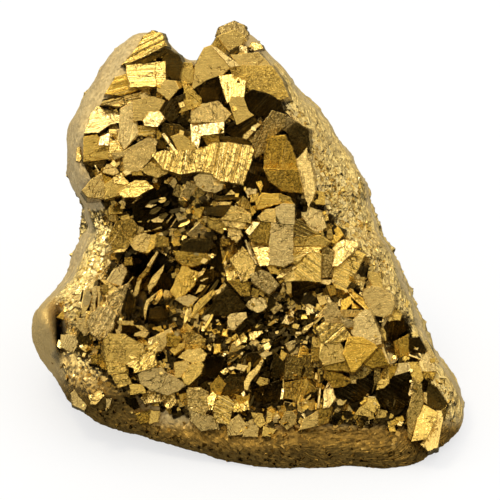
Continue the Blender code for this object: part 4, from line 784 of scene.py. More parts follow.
light 2.6; 4.7,26.6 6.2,27.8 6.2,26.2 5,26.1; lines 30 0.35 10; tone 0.5
light 2.7; 4.5,28.4 6.2,29.9 7.8,29.7 6.4,28.6; tone 0.6; lines 20 0.35 12
bright 2.7; 6,29.9 7.9,29.8 9.6,29.9 9.4,30.3 10.2,30.8 6.4,30.8; lines 8 0.3 16; tone 0.6; cracks 0.7
rust 2.8; 6.1,31 6.3,32.2 9.7,32.3 11,31.5 10.3,30.9; tone 0.7
brown 1.8; 9.8,26.6 9.8,29.6 10.5,30.8 11.6,30 11.5,28.2 11.4,26.8; cracks 1; tone 0.3
pale 2.6; 9,25.9 10.8,25.6 11.7,26 11.5,26.3 9.8,26.2
white 3; 11.6,28.2 11.7,30.6 12.3,31.2 13,31.6 14.7,31.4 14.8,30.8 14.1,30 12.3,28.3; tone 0.2
light 2.7; 11.7,27.8 12.3,28.2 14.1,29.9 15,30.1 15.9,29.6 15,28 14,26.2 13.2,24.9 12,25.4 11.6,26;
    lines -24 0.35 14; tone 0.8
olive 2.2; 6.2,34.3 7,34.5 8.3,33.2 9.6,32.7 9,32.3 6.6,32.4 6,33; lines -25 0.3 14
light 2; 7.1,35.4 8.2,36.2 9.8,35.6 10.4,33.6 9.4,32.9 8.6,33.3; tone 0.05
tan 2.4; 16.2,24.8 15.8,24.2 16.4,22.4 17,21.2 18.4,21 19.6,21.6 19.9,22.6 19.8,23.8 19.3,24.2 18,25
    17,25.2; tone 0.15
tan 2; 16.6,27.2 18,26.9 18.3,25.2 17.6,24.9 16.4,25.2; tone 0.5
yellow 2.8; 12.7,22.2 12.8,23.3 13.9,23.9 14,23 13.4,22.3; tone 1
yellow 2.8; 13.9,24.2 14.5,24.5 15.5,23.6 16.5,22.1 15.7,22.4 14.3,23.7; tone 1; lines -40 0.4 12
yellow 2.7; 14.2,22.3 14.2,23.1 15.6,22.3; tone 0.9
pale 2.6; 12.1,22.6 12.5,23.1 12.6,22.6
amber 2.2; 10.7,25.4 11.8,25.3 11.9,24.3 11.2,24.1
dark 1.8; 10,24.2 10.6,25.5 11,24.2
dark 1.4; 12,24.9 13.4,24.6 13.5,24 12.4,23.2 11.4,23.7; lines 40 0.3 10
pale 2.4; 10.5,23.8 11,23.8 11.5,23.1 10.9,23.1
tan 2; 5,25.8 5.1,24.5 5.7,24 5.7,25.4 5.6,26
black 1; 5.8,25.6 6,24 7.4,24.6 9.8,25.4 9,25.8 7,26; cracks 1
bright 2.6; 7.2,19 7.6,19.7 8.6,20.3 8.9,20.2 8,19.3 7.5,18.8
pale 2.4; 6.4,18.7 6.4,19 7,19 7.1,18.7
light 2.6; 8.9,20.9 9.8,21.9 10.5,22.7 10.6,22.4 9.6,21.2
tan 2.4; 8.8,20.3 9.6,21 9.9,20.9 9.1,20.1
slate 3.2; 12.6,21.2 14.2,20.5 14.1,19.1 12.9,20; tone 0
rust 3; 10.4,21.6 10.9,22.8 11.7,22.8 12.6,21.2 12.8,20.2 10.6,20.2; tone 0.3; cracks 0.6
brown 2.6; 12.7,22 15.4,22 15,21.2 13,21; tone 0.4
light 4; 14.2,19 14.2,20.3 15.2,21.4 16,22 16.6,21.6 17.9,18.6 18,17.6 17.2,17.4 15.8,17.8 14.8,18.2;
    tone 0.05
pale 3.6; 16.3,22 16.7,21.9 19.4,14.6 18.9,14.7 18,17.4
gold 3.2; 9.4,19.6 10.4,20.2 12.6,20 13.8,18.4 12,17.6 10,17.8; lines 40 0.4 20; cracks 1; tone 0.6
light 4.4; 13.6,17.9 14,18.2 15.4,18.1 17,17.3 17.4,16.8 16.8,16.2 14.6,13.8 14,13.7 13.6,15 13.1,16; tone 1
tan 3.4; 10,17.4 12.3,17.5 13,16.1 12.9,15.2 10.4,14.6 9.8,15.6; tone 0.5; cracks 0.5
brown 3; 10.2,14.5 13,15.2 13.6,14.4 13.8,13.5 10.6,13.8; tone 0.9
yellow 3.5; 10.7,15.2 11,15.8 11.6,15.4 11.3,15; tone 0.9
yellow 3.1; 11.1,13.7 11.5,14.2 11.9,13.8; tone 0.9
tan 2.6; 8.7,17 8.8,18.2 9.8,18 9.7,17
brown 2.4; 8.6,15 8.7,17 9.7,17 9.8,15.2
rust 4; 15.6,14.7 16.7,16.1 17.6,17.2 18.3,15.8 19,14.6 17,14.2; tone 1
pale 4.2; 16.8,16.2 17.6,17 17.7,16.7 17,16
black 1.4; 16.9,21.2 18.4,20.9 18.2,19 18,18.8
black 0.4; 18.8,19.6 19.5,20.4 21.3,20.7 22.3,19.4 20,17.6 20.3,16 21,15.1 19.5,14.7 18.6,17.5
light 2.2; 19.5,21.4 20.6,21.9 21,21.3 20.8,20.7 19.6,20.6; tone 0.7
slate 1.8; 18.2,19 18.4,20.6 19.4,21.2 19.2,20.6 18.6,19.6
amber 1.8; 20.2,17.4 22,18.4 22.2,15 20.9,14.8 20.5,16
light 2.6; 18,18.6 18.5,19.5 18.8,18.8 18.9,17.9 18.3,17.6; tone 0.5
grey 2; 19.3,15.6 19.6,15.9 20.4,15.2 20,14.8 19.4,14.6
black 0.8; 22.2,17.8 23.6,18 24.4,16.4 23.6,14.7 22.3,15; lines -25 0.5 12
pale 1.3; 22.2,15.9 23.4,15.4 23.6,15.1 22.2,15.6
pale 1.3; 22.8,16.6 23.3,16.7 23.8,17.2 23.4,16.4
slate 2.6; 14.1,12.2 14,13.4 15.4,14.5 17,14.2 17.2,13.9 15.8,12.9; tone 0.5
black 1.2; 11.8,10.2 12.2,11.1 14.2,12 15.8,12.9 17.2,13.9 17.3,12.2 16.4,10.8 15.4,9.8 14.2,8.7; lines
    -35 0.4 16
amber 2.6; 10.5,12.6 10.6,13.5 12.6,13 14,12.2 13,11.6 11.6,11.4 11.4,12
yellow 2.8; 12.9,12.9 13.7,12.7 14,12.2 13.2,12.4; tone 0.8
slate 2.4; 17.2,11.4 17.3,14 18,13.9 18.1,12.6; tone 0.4
bright 3; 17.6,11 18,12.4 18.4,13.4 18.9,14 19.2,14.1 19.2,12 18.6,11.4; tone 0.6
rust 2.4; 19.3,12.2 19.3,14.1 20.4,14 20,13.2; tone 1
light 2.6; 20.1,12.8 20.8,14.4 22,14.6 22.3,13.4; tone 0.05
light 2.8; 22.3,13.5 22,14.6 23.4,14.5 23.9,12.6 23.4,11.6 22.7,12.6; tone 0.7
rust 2.8; 22.7,12.5 23.8,11.4 23.8,8.8 23.3,7 22.4,4.2 22,4.6 22,7.8 22.5,9.8; tone 0.6
black 1.4; 17.6,10.4 20,12.6 22.1,13.3 22.4,12.4 22.1,11 22,6.8 19.2,7.4; lines -35 0.45 16
white 2.6; 22.5,12.2 22.8,11.8 22.6,10.6 22.2,10.1 22,10.4
white 2.6; 22,8.1 22.2,9.6 22.5,9.7 22.3,8.4
black 1; 23.9,12.6 24.4,12.3 25,11.9 24.7,10 24.2,10.6 23.9,9.4
dark 1.6; 25,11.9 26,11 27.5,8.8 26.9,7.9 26,8 24.6,8.6 24.7,10.4
olive 1.4; 26.7,8 27.4,8.6 27.2,6.8 26.8,6.6
light 1.8; 24.2,10.5 24.6,10.4 24.6,9 24.1,9.4
bright 3; 22.5,4 23.2,6 23.8,8.8 24.6,8.4 25.8,7.7 25.6,6.6 24.4,4.4; tone 0.5; cracks 0.3
white 2.6; 25.8,7.8 26.6,7.8 26.7,6.8 26,3.2 24.8,2.7 23.8,3.6 24.6,4.6; tone 0.2
light 2.2; 15.8,8.6 16,9.8 17.3,9.6 17.8,8.8 17.2,8; tone 0.7
tan 1.6; 14.7,7.6 15.5,8.6 16.6,8 16.8,7.2; tone 0.6
gold 1.6; 17.9,8.2 19,7.9 18.8,7.2 17.6,7; tone 0.6
yellow 2.2; 15.3,9.2 16.2,9.9 16.1,9.4 15.5,8.9
pale 2.2; 16.4,10.1 17.5,10 17.3,9.8 16.5,9.9
light 1.4; 20.2,7 21.2,7.3 21.4,6.7 20.8,6.5; tone 0.8
light 0.9; 24,15 24.6,15.8 25.4,14.9 25.8,13.6 24.6,13.6 24.2,14.2; tone 0.05
tan 0.9; 24.3,17.4 24.8,17.6 26.4,14.8 26,14.2 25,16; tone 0.1
gold 0.9; 24.2,13.4 25.8,13.2 25.4,12.4 24.4,12.6; cracks 1
"""
# What each look means: the facet's turn to the right and up, its tone from pale to rich gold, how much
# it is painted black as shade, and how broken its surface is.
LOOKS = {
    "glare": (-12, 25, 0.1, 0, 0.6), "white": (-4, 24, 0.0, 0, 0.5), "bright": (-4, 17, 0.35, 0, 0.6),
    "yellow": (-3, 15, 0.9, 0, 0.5), "pale": (-2, 12, 0.05, 0, 0.4), "light": (-1, 7, 0.3, 0, 0.4),
    "gold": (1, 4, 0.85, 0, 0.5), "tan": (0, 1, 0.45, 0, 0.3), "grey": (2, -1, 0.0, 0, 0.4),
    "rust": (3, -4, 0.9, 0.1, 0.6), "brown": (4, -7, 0.8, 0.1, 0.7), "amber": (3, -9, 1.0, 0, 0.4),
    "slate": (4, -9, 0.0, 0.1, 0.8), "olive": (4, -12, 0.6, 0.3, 0.9), "dark": (6, -18, 0.6, 0.82, 0.7),
    "black": (6, -24, 0.5, 0.97, 0.6),
}
SPREAD = 0.1  # how far a block's sides lean out, per millimetre of depth
EDGE_WEAR = 0.07  # the width of the worn edge round a facet
MEETING = 0.28  # how far each facet runs on into its neighbours, but less for the narrow ones
ROOTED = 2.2  # how far below the rock's surface a block goes
LAYER_DEEP = 1.2  # how far into the facet under it a growth layer goes
TONE_STEP = 37  # sets the patterns of crystals of different tones apart

front = np.flatnonzero(smooth_normals[:, 2] > 0.2)
front_tree = KDTree(len(front))
for i in front:
    front_tree.insert(Vector((smooth_rock[i, 0], smooth_rock[i, 1], 0)), int(i))
front_tree.balance()


def surface_at(a, u):
    """The height of the smooth rock under a point of the face."""
    return smooth_rock[front_tree.find(Vector((a, u, 0)))[1], 2]


def wider(corners, mid, by):
    """An outline with each corner moved away from the middle."""
    return [tuple(mid + (np.array(c) - mid) * (1 + by / max(math.dist(c, mid), 0.3))) for c in corners]


def width_of(corners):
    """The mean width of an outline: its area over its greatest length."""
    area = sum(a0 * u1 - a1 * u0 for (a0, u0), (a1, u1) in sides_of(corners)) / 2
    return abs(area) / max(math.dist(p, q) for p in corners for q in corners)


def slope_of(right, up):
    """How fast a facet that is turned to the right and up falls away, across and up the face."""
    return np.array((math.tan(math.radians(right)), math.tan(math.radians(up))))


def facet_rows(text, rand):
    """The lines of the table as dictionaries, with each facet's height measured from the rock under it.
    A line that starts with a space goes on from the one above."""
    for line in text.replace("\n ", " ").strip().splitlines():
        if line.startswith("#"):
            continue
        head, corners, *extras = line.split(";")
        look, height = head.split()
        right, up, tone, dark, cracks = LOOKS[look]
        corners = [tuple(map(float, pair.split(","))) for pair in corners.split()]
        more = {word[0]: tuple(map(float, word[1:])) for word in map(str.split, extras)}
        mid = np.mean(corners, axis=0)
        corners = wider(corners, mid, MEETING * min(1, width_of(corners)))
        ground = 0.5 * surface_at(*mid) + 0.5 * np.mean([surface_at(*corner) for corner in corners])
        yield {
            "level": ground + float(height), "right": right + rand.gauss(0, 3), "up": up + rand.gauss(0, 1.2),
            "depth": float(height) + ROOTED, "corners": corners, "lines": more.get("lines", ()),
            "tone": min(max(more.get("tone", (tone,))[0] + rand.gauss(0, 0.06), 0), 1), "dark": dark,
            "cracks": more.get("cracks", (cracks,))[0],
        }


def clipped(corners, measure, low, high):
    """The part of a convex outline from low to high, where measure says how far along a point is."""
    for sign, limit in ((1, low), (-1, -high)):
        kept = []
        for p, q in sides_of(corners):
            dp, dq = sign * measure(p) - limit, sign * measure(q) - limit
            if dp >= 0:
                kept.append(p)
            if dp * dq < 0:
                t = dp / (dp - dq)
                kept.append((p[0] + (q[0] - p[0]) * t, p[1] + (q[1] - p[1]) * t))
        corners = kept
        if len(corners) < 3:
            return []
    return corners


def ragged(corners, rand, bite):
    """The outline with small steps bitten out of its edges, as growth and wear leave them."""
    made = []
    mid = np.mean(corners, axis=0)
    for p, q in sides_of(corners):
        p, q = np.array(p, float), np.array(q, float)
        length = math.dist(p, q)
        made.append(tuple(p))
        if length < 0.9 or rand.random() < 0.25:
            continue
        inward = np.array((p[1] - q[1], q[0] - p[0])) / length
        if inward @ (mid - p) < 0:
            inward = -inward
        at = rand.uniform(0.1, 0.4)
        while at < 0.8:
            to = min(at + rand.uniform(0.12, 0.4), 0.92)
            deep = rand.uniform(0.25, 1) * min(bite, 0.12 * length)
            for t, down in ((at, 0), (at + 0.02, deep), (to - 0.02, deep), (to, 0)):
                made.append(tuple(p + (q - p) * t + inward * down))
            at = to + rand.uniform(0.1, 0.5)
    return made


def cut_across(bm, plane_at, plane_normal, remove=False):
    """Cuts a mesh with a plane, and takes off what lies beyond it."""
    return bmesh.ops.bisect_plane(
        bm, geom=bm.verts[:] + bm.edges[:] + bm.faces[:], plane_co=plane_at, plane_no=plane_normal,
        clear_outer=remove,
    )


def ridge(bm, lines, mid, level, normal, rand):
    """Raises and lowers strips of a facet, so that it has growth lines of the given direction and spacing."""
    turn, gap, tilt = lines
    across_lines = Vector((-math.sin(math.radians(turn)), math.cos(math.radians(turn)), 0))
    reach = [v.co.dot(across_lines) for v in bm.verts]
    at, places = min(reach), []
    while at < max(reach):
        places.append(at)
        at += gap * rand.uniform(0.4, 1.6)
    heights = [rand.uniform(-1, 1) * gap * math.tan(math.radians(tilt)) * 0.5 for _ in places]
    for place_at in places[1:]:
        cut_across(bm, across_lines * place_at, across_lines)
    facet_at = Vector((*mid, level))
    for vert in bm.verts:
        if abs((vert.co - facet_at).dot(normal)) < 1e-4:
            vert.co += normal * float(np.interp(vert.co.dot(across_lines), places, heights))


def block_mesh(level, right, up, depth, root, corners, lines, rand, whole=True, wear=EDGE_WEAR):
    """One crystal as a closed mesh: its points, its faces, and how far below the facet each point is."""
    mid = np.mean(corners, axis=0)
    slope = slope_of(right, up)
    normal = Vector((*slope, 1)).normalized()
    bm = bmesh.new()
    top = [bm.verts.new((a, u, level - slope @ (np.array((a, u)) - mid))) for a, u in corners]
    foot = []
    for vert in top:
        away = Vector((vert.co.x - mid[0], vert.co.y - mid[1])).normalized() * depth * SPREAD
        foot.append(bm.verts.new(vert.co + Vector((away.x + root[0], away.y + root[1], -depth))))
    bm.faces.new(top)
    bm.faces.new(foot[::-1])
    for (top_0, top_1), (foot_0, foot_1) in zip(sides_of(top), sides_of(foot)):
        bm.faces.new((foot_0, foot_1, top_1, top_0))
    bmesh.ops.recalc_face_normals(bm, faces=bm.faces)
    size = max(math.dist(p, mid) for p in corners)
    # Now and then a corner is clipped, by another of the crystal's faces.
    if whole:
        for vert_at in rand.sample([vert.co.copy() for vert in top], k=rand.choice((0, 0, 0, 1))):
            inward = (Vector((*mid, vert_at.z)) - vert_at).normalized()
            plane_normal = (normal * rand.uniform(0.4, 1.3) - inward).normalized()
            at = vert_at + inward * rand.uniform(0.08, 0.2) * size * 0.8
            cut = cut_across(bm, at, plane_normal, remove=True)["geom_cut"]
            bmesh.ops.edgeloop_fill(bm, edges=[e for e in cut if isinstance(e, bmesh.types.BMEdge)])
    facing = [f for f in bm.faces if f.normal.dot(normal) > 0.999]
    if facing and wear:
        worn = {e for f in facing for e in f.edges}
        bmesh.ops.bevel(
            bm, geom=list(worn), offset=min(wear, size * 0.06), segments=1, affect="EDGES",
            clamp_overlap=True,
        )
    if lines:
        ridge(bm, lines, mid, level, normal, rand)
    bm.verts.index_update()
    points = np.array([vert.co for vert in bm.verts])
    faces = [[vert.index for vert in face.verts] for face in bm.faces]
    bm.free()
    return points, faces, (np.array((*mid, level)) - points) @ np.array(normal)


def terraces(row, rand):
    """The block and the thin growth layers that lie on its facet, each ending along a straight edge."""
    level, right, up, corners, lines = (row[key] for key in ("level", "right", "up", "corners", "lines"))
    mid = np.mean(corners, axis=0)
    size = max(math.dist(p, mid) for p in corners)
    root = (0.03 * row["depth"], -0.06 * row["depth"] * min(1, size / 2))
    bite = min(0.05 + 0.07 * row["cracks"], 0.15 * width_of(corners))
    yield level, right, up, row["depth"], root, ragged(corners, rand, bite), lines
    layers = 0 if size < 1.9 or (lines and lines[2] > 17) else rand.choice((0, 0, 1, 2))
    for layer in range(layers):
        side = rand.randrange(len(corners))
        (a0, u0), (a1, u1) = corners[side - 1], corners[side]
        turn = math.atan2(u1 - u0, a1 - a0) + math.pi / 2 + rand.uniform(-0.12, 0.12)
        c, s = math.cos(turn), math.sin(turn)

        def measure(p, c=c, s=s):
            return (p[0] - mid[0]) * c + (p[1] - mid[1]) * s

        reach = [measure(p) for p in corners]
        low = min(reach) + (max(reach) - min(reach)) * rand.choice((0.08, 0.16, 0.25, 0.4, 0.6, 0.8))
        part = [tuple(mid + (np.array(p) - mid) * rand.uniform(0.93, 0.99)) for p in corners]
        part = clipped(part, measure, low, math.inf)
        if len(part) < 3:
            continue
        lower = slope_of(right, up) @ (np.mean(part, axis=0) - mid)
        part_level = level - lower + (layer + 1) * rand.uniform(0.05, 0.12)
        tilts = right + rand.uniform(-1.5, 1.5), up + rand.uniform(-1.5, 1.5)
        yield part_level, *tilts, LAYER_DEEP, (0, 0), ragged(part, rand, 2 * bite), lines


def along_lines(points, turn, tone):
    """A crystal's points as its material reads them, with x across its growth lines."""
    c, s = math.cos(math.radians(turn)), math.sin(math.radians(turn))
    return points @ np.array(((-s, c, 0.3), (c, s, 0), (0, 0, 1))).T + TONE_STEP * tone


class Gathered:
    """Collects closed meshes in face millimetres, with what their material reads, to make one piece."""

    def __init__(self):
        self.points, self.faces, self.values, self.count = [], [], [], 0

    def add(self, points, faces, below, own, tone, dark=0.0, cracks=0.0, lined=0.3):
        """Adds a mesh. Below is how far under its facet each point is, own is where its patterns are."""
        # Deep is painted shade: the sides darken with depth below the facet, and dark facets are painted
        # black.
        deep = np.maximum(share(below, 0.15, 1.6), dark)
        self.points.append(points)
        self.faces += [[i + self.count for i in face] for face in faces]
        self.values.append(np.column_stack((own, deep, np.full((len(points), 3), (tone, cracks, lined)))))
        self.count += len(points)

    def piece(self, name):
        """The piece that all the meshes make."""
        made = mesh_of(name, above_ground(np.vstack(self.points)), self.faces)
        values = np.vstack(self.values)
        own = made.data.attributes.new("own", "FLOAT_VECTOR", "POINT")
        own.data.foreach_set("vector", np.ascontiguousarray(values[:, :3], np.float32).ravel())
        for i, key in enumerate(("deep", "tone", "cracks", "lined")):
            paint(made.data, key, values[:, 3 + i])
        return made


rand = random.Random(3)
FACETS = list(facet_rows(BLOCKS, rand))
gathered = Gathered()
for row in FACETS:
    turn = row["lines"][0] if row["lines"] else rand.choice((20, 65, 90, 150)) + rand.gauss(0, 8)
    lined = 0.15 + 0.85 * min(1, (row["lines"] or (0, 0, 0))[2] / 18)
    for number, part in enumerate(terraces(row, rand)):
        points, faces, below = block_mesh(*part, rand, whole=number == 0)
        own = along_lines(points, turn, row["tone"])
        gathered.add(points, faces, below, own, row["tone"], row["dark"], row["cracks"], lined)
crystals = gathered.piece("large_crystals")

# Growth lines: fine parallel lines over a crystal, from a distance across them that it carries.
growth_lines, given, result = new_group(
    "growth_lines", [("Across", "Float", 0.0), ("Lines per mm", "Float", 6.0)], [("Height", "Float")],
)
counted = math_node(growth_lines, "MULTIPLY", given["Across"], given["Lines per mm"])
ridges = node(
    growth_lines, "TexNoise", noise_dimensions="1D", W=counted, Scale=1.0, Detail=3.0, Roughness=0.7,
)
feed(growth_lines, result["Height"], ridges.outputs[0])

# Hairline cracks: a net of fine dark lines that shows in patches only.
hairlines, given, result = new_group(
    "hairline_cracks",
    [("Position", "Vector", None), ("Cells per mm", "Float", 0.8), ("Patches", "Float", 0.5)],
    [("Mask", "Float")],
)
scaled = vector_node(hairlines, "SCALE", given["Position"], Scale=given["Cells per mm"])
wander = node(hairlines, "TexNoise", scaled, Scale=2.2, Detail=4.0, Roughness=0.7)
bent = vector_node(hairlines, "MULTIPLY_ADD", wander.outputs["Color"], (0.9, 0.9, 0.9), scaled)
net = node(hairlines, "TexVoronoi", bent, feature="DISTANCE_TO_EDGE", Scale=1.0)
line = math_node(hairlines, "MULTIPLY_ADD", net.outputs["Distance"], -34.0, 1.2, clamp=True)
patch = node(hairlines, "TexNoise", scaled, Scale=0.55, Detail=2.0)
hidden = math_node(hairlines, "SUBTRACT", given["Patches"], 1.0)
shown = math_node(hairlines, "ADD", patch.outputs[0], hidden)
shown = math_node(hairlines, "MULTIPLY", shown, 14.0, clamp=True)
feed(hairlines, result["Mask"], math_node(hairlines, "MULTIPLY", line, shown))


def crystal_material(name, lines, cracked, tones, pitted=0.24):
    """Bright metallic crystal: its gold from pale to rich, growth lines, cracks, tarnish and pits, with
    painted shade and painted highlights.
    """
    made, tree, shader = new_material(name)
    calc, mixed = partial(math_node, tree), partial(mix_colour, tree)
    position = node(tree, "TexCoord").outputs["Object"]
    own = node(tree, "Attribute", attribute_name="own").outputs["Vector"]
    drawn = vector_node(tree, "MULTIPLY", own, (1, 0.45, 0.7))
    cracks, lined = painted(tree, "cracks"), calc("MULTIPLY", painted(tree, "lined"), lines)
    broken = calc("MULTIPLY_ADD", cracks, 0.17, cracked)
    broken_fine = calc("ADD", broken, 0.05)
    stain = in_group(tree, tarnish, position, Amount=0.30, Scale=420.0)["Mask"]
    specks = in_group(tree, tarnish, drawn, Amount=pitted, Scale=3.4)["Mask"]
    mottle = in_group(tree, sparkle, position, Cells_per_metre=1700.0, Tilt=0.5)
    fine = in_group(tree, sparkle, position, Cells_per_metre=5200.0, Tilt=1.0)
    crack_net = in_group(tree, hairlines, drawn, Cells_per_mm=0.75, Patches=broken)["Mask"]
    dashes = in_group(tree, hairlines, drawn, Cells_per_mm=1.9, Patches=broken_fine)["Mask"]
    across = node(tree, "SeparateXYZ", own).outputs[0]
    grown = node(tree, "Group", node_tree=growth_lines, Across=across, Lines_per_mm=8.0).outputs["Height"]

    # The gold: its tone, then mottling, stains, growth lines with painted shade and painted highlight, cracks
    # and painted shade over it.
    ramp = node(tree, "ValToRGB", painted(tree, "tone"))
    stops = ramp.color_ramp.elements
    for at in (0.33, 0.66):
        stops.new(at)
    for stop, colour in zip(stops, tones):
        stop.color = (*colour, 1)
    shade = calc("MULTIPLY", fine["Shade"], calc("MULTIPLY_ADD", cracks, 0.8, 0.2))
    gold = mixed(shade, ramp.outputs[0], (0.72, 0.68, 0.58, 1), "MULTIPLY")
    gold = mixed(mottle["Shade"], gold, (0.88, 0.86, 0.82, 1), "MULTIPLY")
    gold = mixed(calc("MULTIPLY", stain, 0.5), gold, (0.46, 0.31, 0.13, 1))
    # Painted shade, dark brown, in the grooves of the growth lines.
    groove_shade = calc("MULTIPLY", calc("MULTIPLY_ADD", grown, -7.0, 3.1, clamp=True), lined)
    gold = mixed(calc("MULTIPLY", groove_shade, 0.7), gold, (0.34, 0.21, 0.05, 1))
    # Painted highlight, pale gold, on the crests of the growth lines.
    crest_highlight = calc("MULTIPLY_ADD", grown, 9.0, -4.9, clamp=True)
    gold = mixed(calc("MULTIPLY", crest_highlight, calc("MULTIPLY", lined, 0.6)), gold, (1.0, 0.93, 0.68, 1))
    dark = calc("MAXIMUM", calc("MAXIMUM", crack_net, dashes), specks)
    gold = mixed(calc("MULTIPLY", dark, 0.85), gold, (0.08, 0.05, 0.02, 1))
    # Painted shade covers the deep sides and dark facets, all but the painted highlight on the finest crests.
    black = calc("MULTIPLY", calc("MULTIPLY_ADD", crest_highlight, -0.18, 1.0), painted(tree, "deep"))
    feed(tree, shader.inputs["Base Color"], mixed(black, gold, (0.022, 0.015, 0.007, 1)))

    shader.inputs["Metallic"].default_value = 1.0
    rough = calc("MULTIPLY_ADD", cracks, 0.08, calc("MULTIPLY_ADD", stain, 0.16, 0.07))
    feed(tree, shader.inputs["Roughness"], calc("MULTIPLY_ADD", mottle["Shade"], 0.06, rough))

    # The relief: ripples, a slow swell, the cells of the sparkle, growth lines and cracks.
    ripple = node(tree, "TexNoise", position, Scale=1300.0, Detail=5.0, Roughness=0.65).outputs[0]
    swell = node(tree, "TexNoise", position, Scale=330.0, Detail=1.5, Roughness=0.4).outputs[0]
    high = calc("MULTIPLY", ripple, calc("MULTIPLY_ADD", cracks, 0.5, 0.2))
    high = calc("MULTIPLY_ADD", swell, 0.9, high)
    high = calc("MULTIPLY_ADD", fine["Height"], calc("MULTIPLY_ADD", cracks, 0.6, 0.08), high)
    high = calc("MULTIPLY_ADD", mottle["Height"], calc("MULTIPLY_ADD", cracks, 0.9, 0.25), high)
    high = calc("MULTIPLY_ADD", grown, calc("MULTIPLY", lined, 0.34), high)
    high = calc("MULTIPLY_ADD", dark, -0.5, high)
    bump = node(tree, "Bump", Strength=1.0, Distance=0.00012, Height=high)
    feed(tree, shader.inputs["Normal"], bump.outputs[0])
    return made


GOLDS = ((0.92, 0.77, 0.48), (0.92, 0.72, 0.34), (0.92, 0.70, 0.25), (0.90, 0.62, 0.14))
crystal_gold = crystal_material("brassy_crystal_faces", 1.0, 0.345, GOLDS)
crystals.data.materials.append(crystal_gold)
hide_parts("specimen")
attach(crystals, "root")

# ------------------------------------------------------------------ the crystal crust
# Between the large crystals the whole face is a crust of smaller ones, grown through each other and
# rooted in the rock. Each shows one flat facet and some sides, and the gaps between them are painted black as
# shade.

# Where most of the crust is painted black as shade: a, u, half-widths, how much of it.
GLOOM = [
    (1.5, 19.5, 8.5, 3.8, 0.9), (5.5, 12.5, 7.5, 3.2, 0.85), (-14.4, 27.6, 6, 4.2, 1.0),
    (-13.5, 34.5, 5.5, 3.0, 0.6), (20.6, 18.2, 2.8, 3.2, 0.95), (19.6, 9.6, 3, 3.6, 0.85),
    (-1, 49, 4.5, 2.6, 0.7), (-6, 26, 4.4, 4, 0.8), (1.4, 42, 1.6, 5, 0.9), (-16, 22, 5, 4, 0.8),
    (5, 47.5, 3.4, 2.6, 0.9), (-9.5, 57, 1.4, 3, 0.6),
]
CAVES = [(-14.6, 28.4, 4.6, 2.0), (-14.8, 24.6, 4.2, 2.2)]  # the open hollows: a, u, half-widths


def gloom(at):
    """The share of crystals painted black as shade at each point, from the patches above."""
    most = np.zeros(len(at))
    for a, u, half_a, half_u, value in GLOOM:
        apart = ((at[:, 0] - a) / half_a) ** 2 + ((at[:, 1] - u) / half_u) ** 2
        most = np.maximum(most, value * np.exp(-(apart**3)))
    return most


facet_mids = np.array([np.mean(row["corners"], axis=0) for row in FACETS])
facet_sizes = np.array([
    max(math.dist(corner, mid) for corner in row["corners"]) for row, mid in zip(FACETS, facet_mids)
])
facet_leans = np.array([(row["right"], row["up"], row["dark"]) for row in FACETS])


def follow(at):
    """What the large crystals near each point have: their turn to the right and up, and how much painted
    shade they carry.
    """
    near = facet_sizes**2 * np.exp(-((at[:, None, :2] - facet_mids) ** 2).sum(axis=2) / 2.4) + 1e-6
    return (near @ facet_leans / near.sum(axis=1)[:, None]).T


def spots(count, where, gap):
    """Random points of the rock's surface with their outward directions, none nearer than the gap."""
    corners = smooth_rock[quads]
    area = np.linalg.norm(np.cross(corners[:, 2] - corners[:, 0], corners[:, 3] - corners[:, 1]), axis=1)
    area = area * where(corners.mean(axis=1), smooth_normals[quads].mean(axis=1))
    pick = rng.choice(len(quads), count, p=area / area.sum())
    s, t = rng.random((2, count, 1))
    weights = np.stack(((1 - s) * (1 - t), s * (1 - t), s * t, (1 - s) * t), axis=1)
    points = (smooth_rock[quads[pick]] * weights).sum(axis=1)
    outward = (smooth_normals[quads[pick]] * weights).sum(axis=1)
    kept, taken = [], {}
    for i, cell in enumerate(map(tuple, np.floor(points / gap).astype(int))):
        near = (taken.get((cell[0] + x, cell[1] + y, cell[2] + z), ()) for x, y, z in AROUND)
        if all(np.dot(points[i] - points[j], points[i] - points[j]) > gap * gap for js in near for j in js):
            kept.append(i)
            taken.setdefault(cell, []).append(i)
    return points[kept], outward[kept] / np.linalg.norm(outward[kept], axis=1)[:, None]


def in_field(points, outward, within=1.0):
    """Which points lie on the crystal face, or within a share of it."""
    corners = [(CENTRE_A + (a - CENTRE_A) * within, CENTRE_U + (u - CENTRE_U) * within) for a, u in FIELD]
    return inside_outline(points[:, 0], points[:, 1], corners) & (outward[:, 2] > 0.5)


def under_blocks(points, margin):
    """Which points a large crystal covers, with a margin round it."""
    covered = np.zeros(len(points), bool)
    for row, mid in zip(FACETS, facet_mids):
        outline = wider(row["corners"], mid, margin)
        covered |= inside_outline(points[:, 0], points[:, 1], outline) & (points[:, 2] > -12)
    return covered


def out_of_caves(points):
    """Which points aren't in the open hollows, where only blades grow."""
    clear = np.ones(len(points), bool)
    for a, u, half_a, half_u in CAVES:
        clear &= ((points[:, 0] - a) / half_a) ** 2 + ((points[:, 1] - u) / half_u) ** 2 > 1
    return clear


def shapes(count, rand, wear=0):
    """Crystals of unit size: a facet at height zero with four to six corners, and a body below it."""
    made = []
    for _ in range(count):
        wide, high = 0.5, 0.5 * rand.uniform(0.62, 1.0)
        skew = rand.uniform(-0.25, 0.25)
        corners = [(-wide, -high), (wide, -high), (wide, high), (-wide, high)]
        corners = [
            (a + skew * u + rand.uniform(-0.06, 0.06), u + rand.uniform(-0.06, 0.06)) for a, u in corners
        ]
        for _ in range(rand.choice((0, 0, 1, 1, 2))):
            turn = rand.uniform(0, math.tau)
            c, s = math.cos(turn), math.sin(turn)
            corners = clipped(corners, lambda p: p[0] * c + p[1] * s, -math.inf, rand.uniform(0.28, 0.5))
        made.append(block_mesh(0, 0, 0, 0.95, (0, 0), corners, (), rand, wear=wear))
    return made


def drift(at, size, seed):
    """A slowly changing direction over the rock: neighbouring crystals grew nearly the same way up."""
    places = [Vector(p) / size + Vector((seed, 0, 0)) for p in at]
    steps = [Vector((0, 19 * i, 0)) for i in range(3)]
    return 2.2 * np.array([[noise.noise(place + step) for step in steps] for place in places])


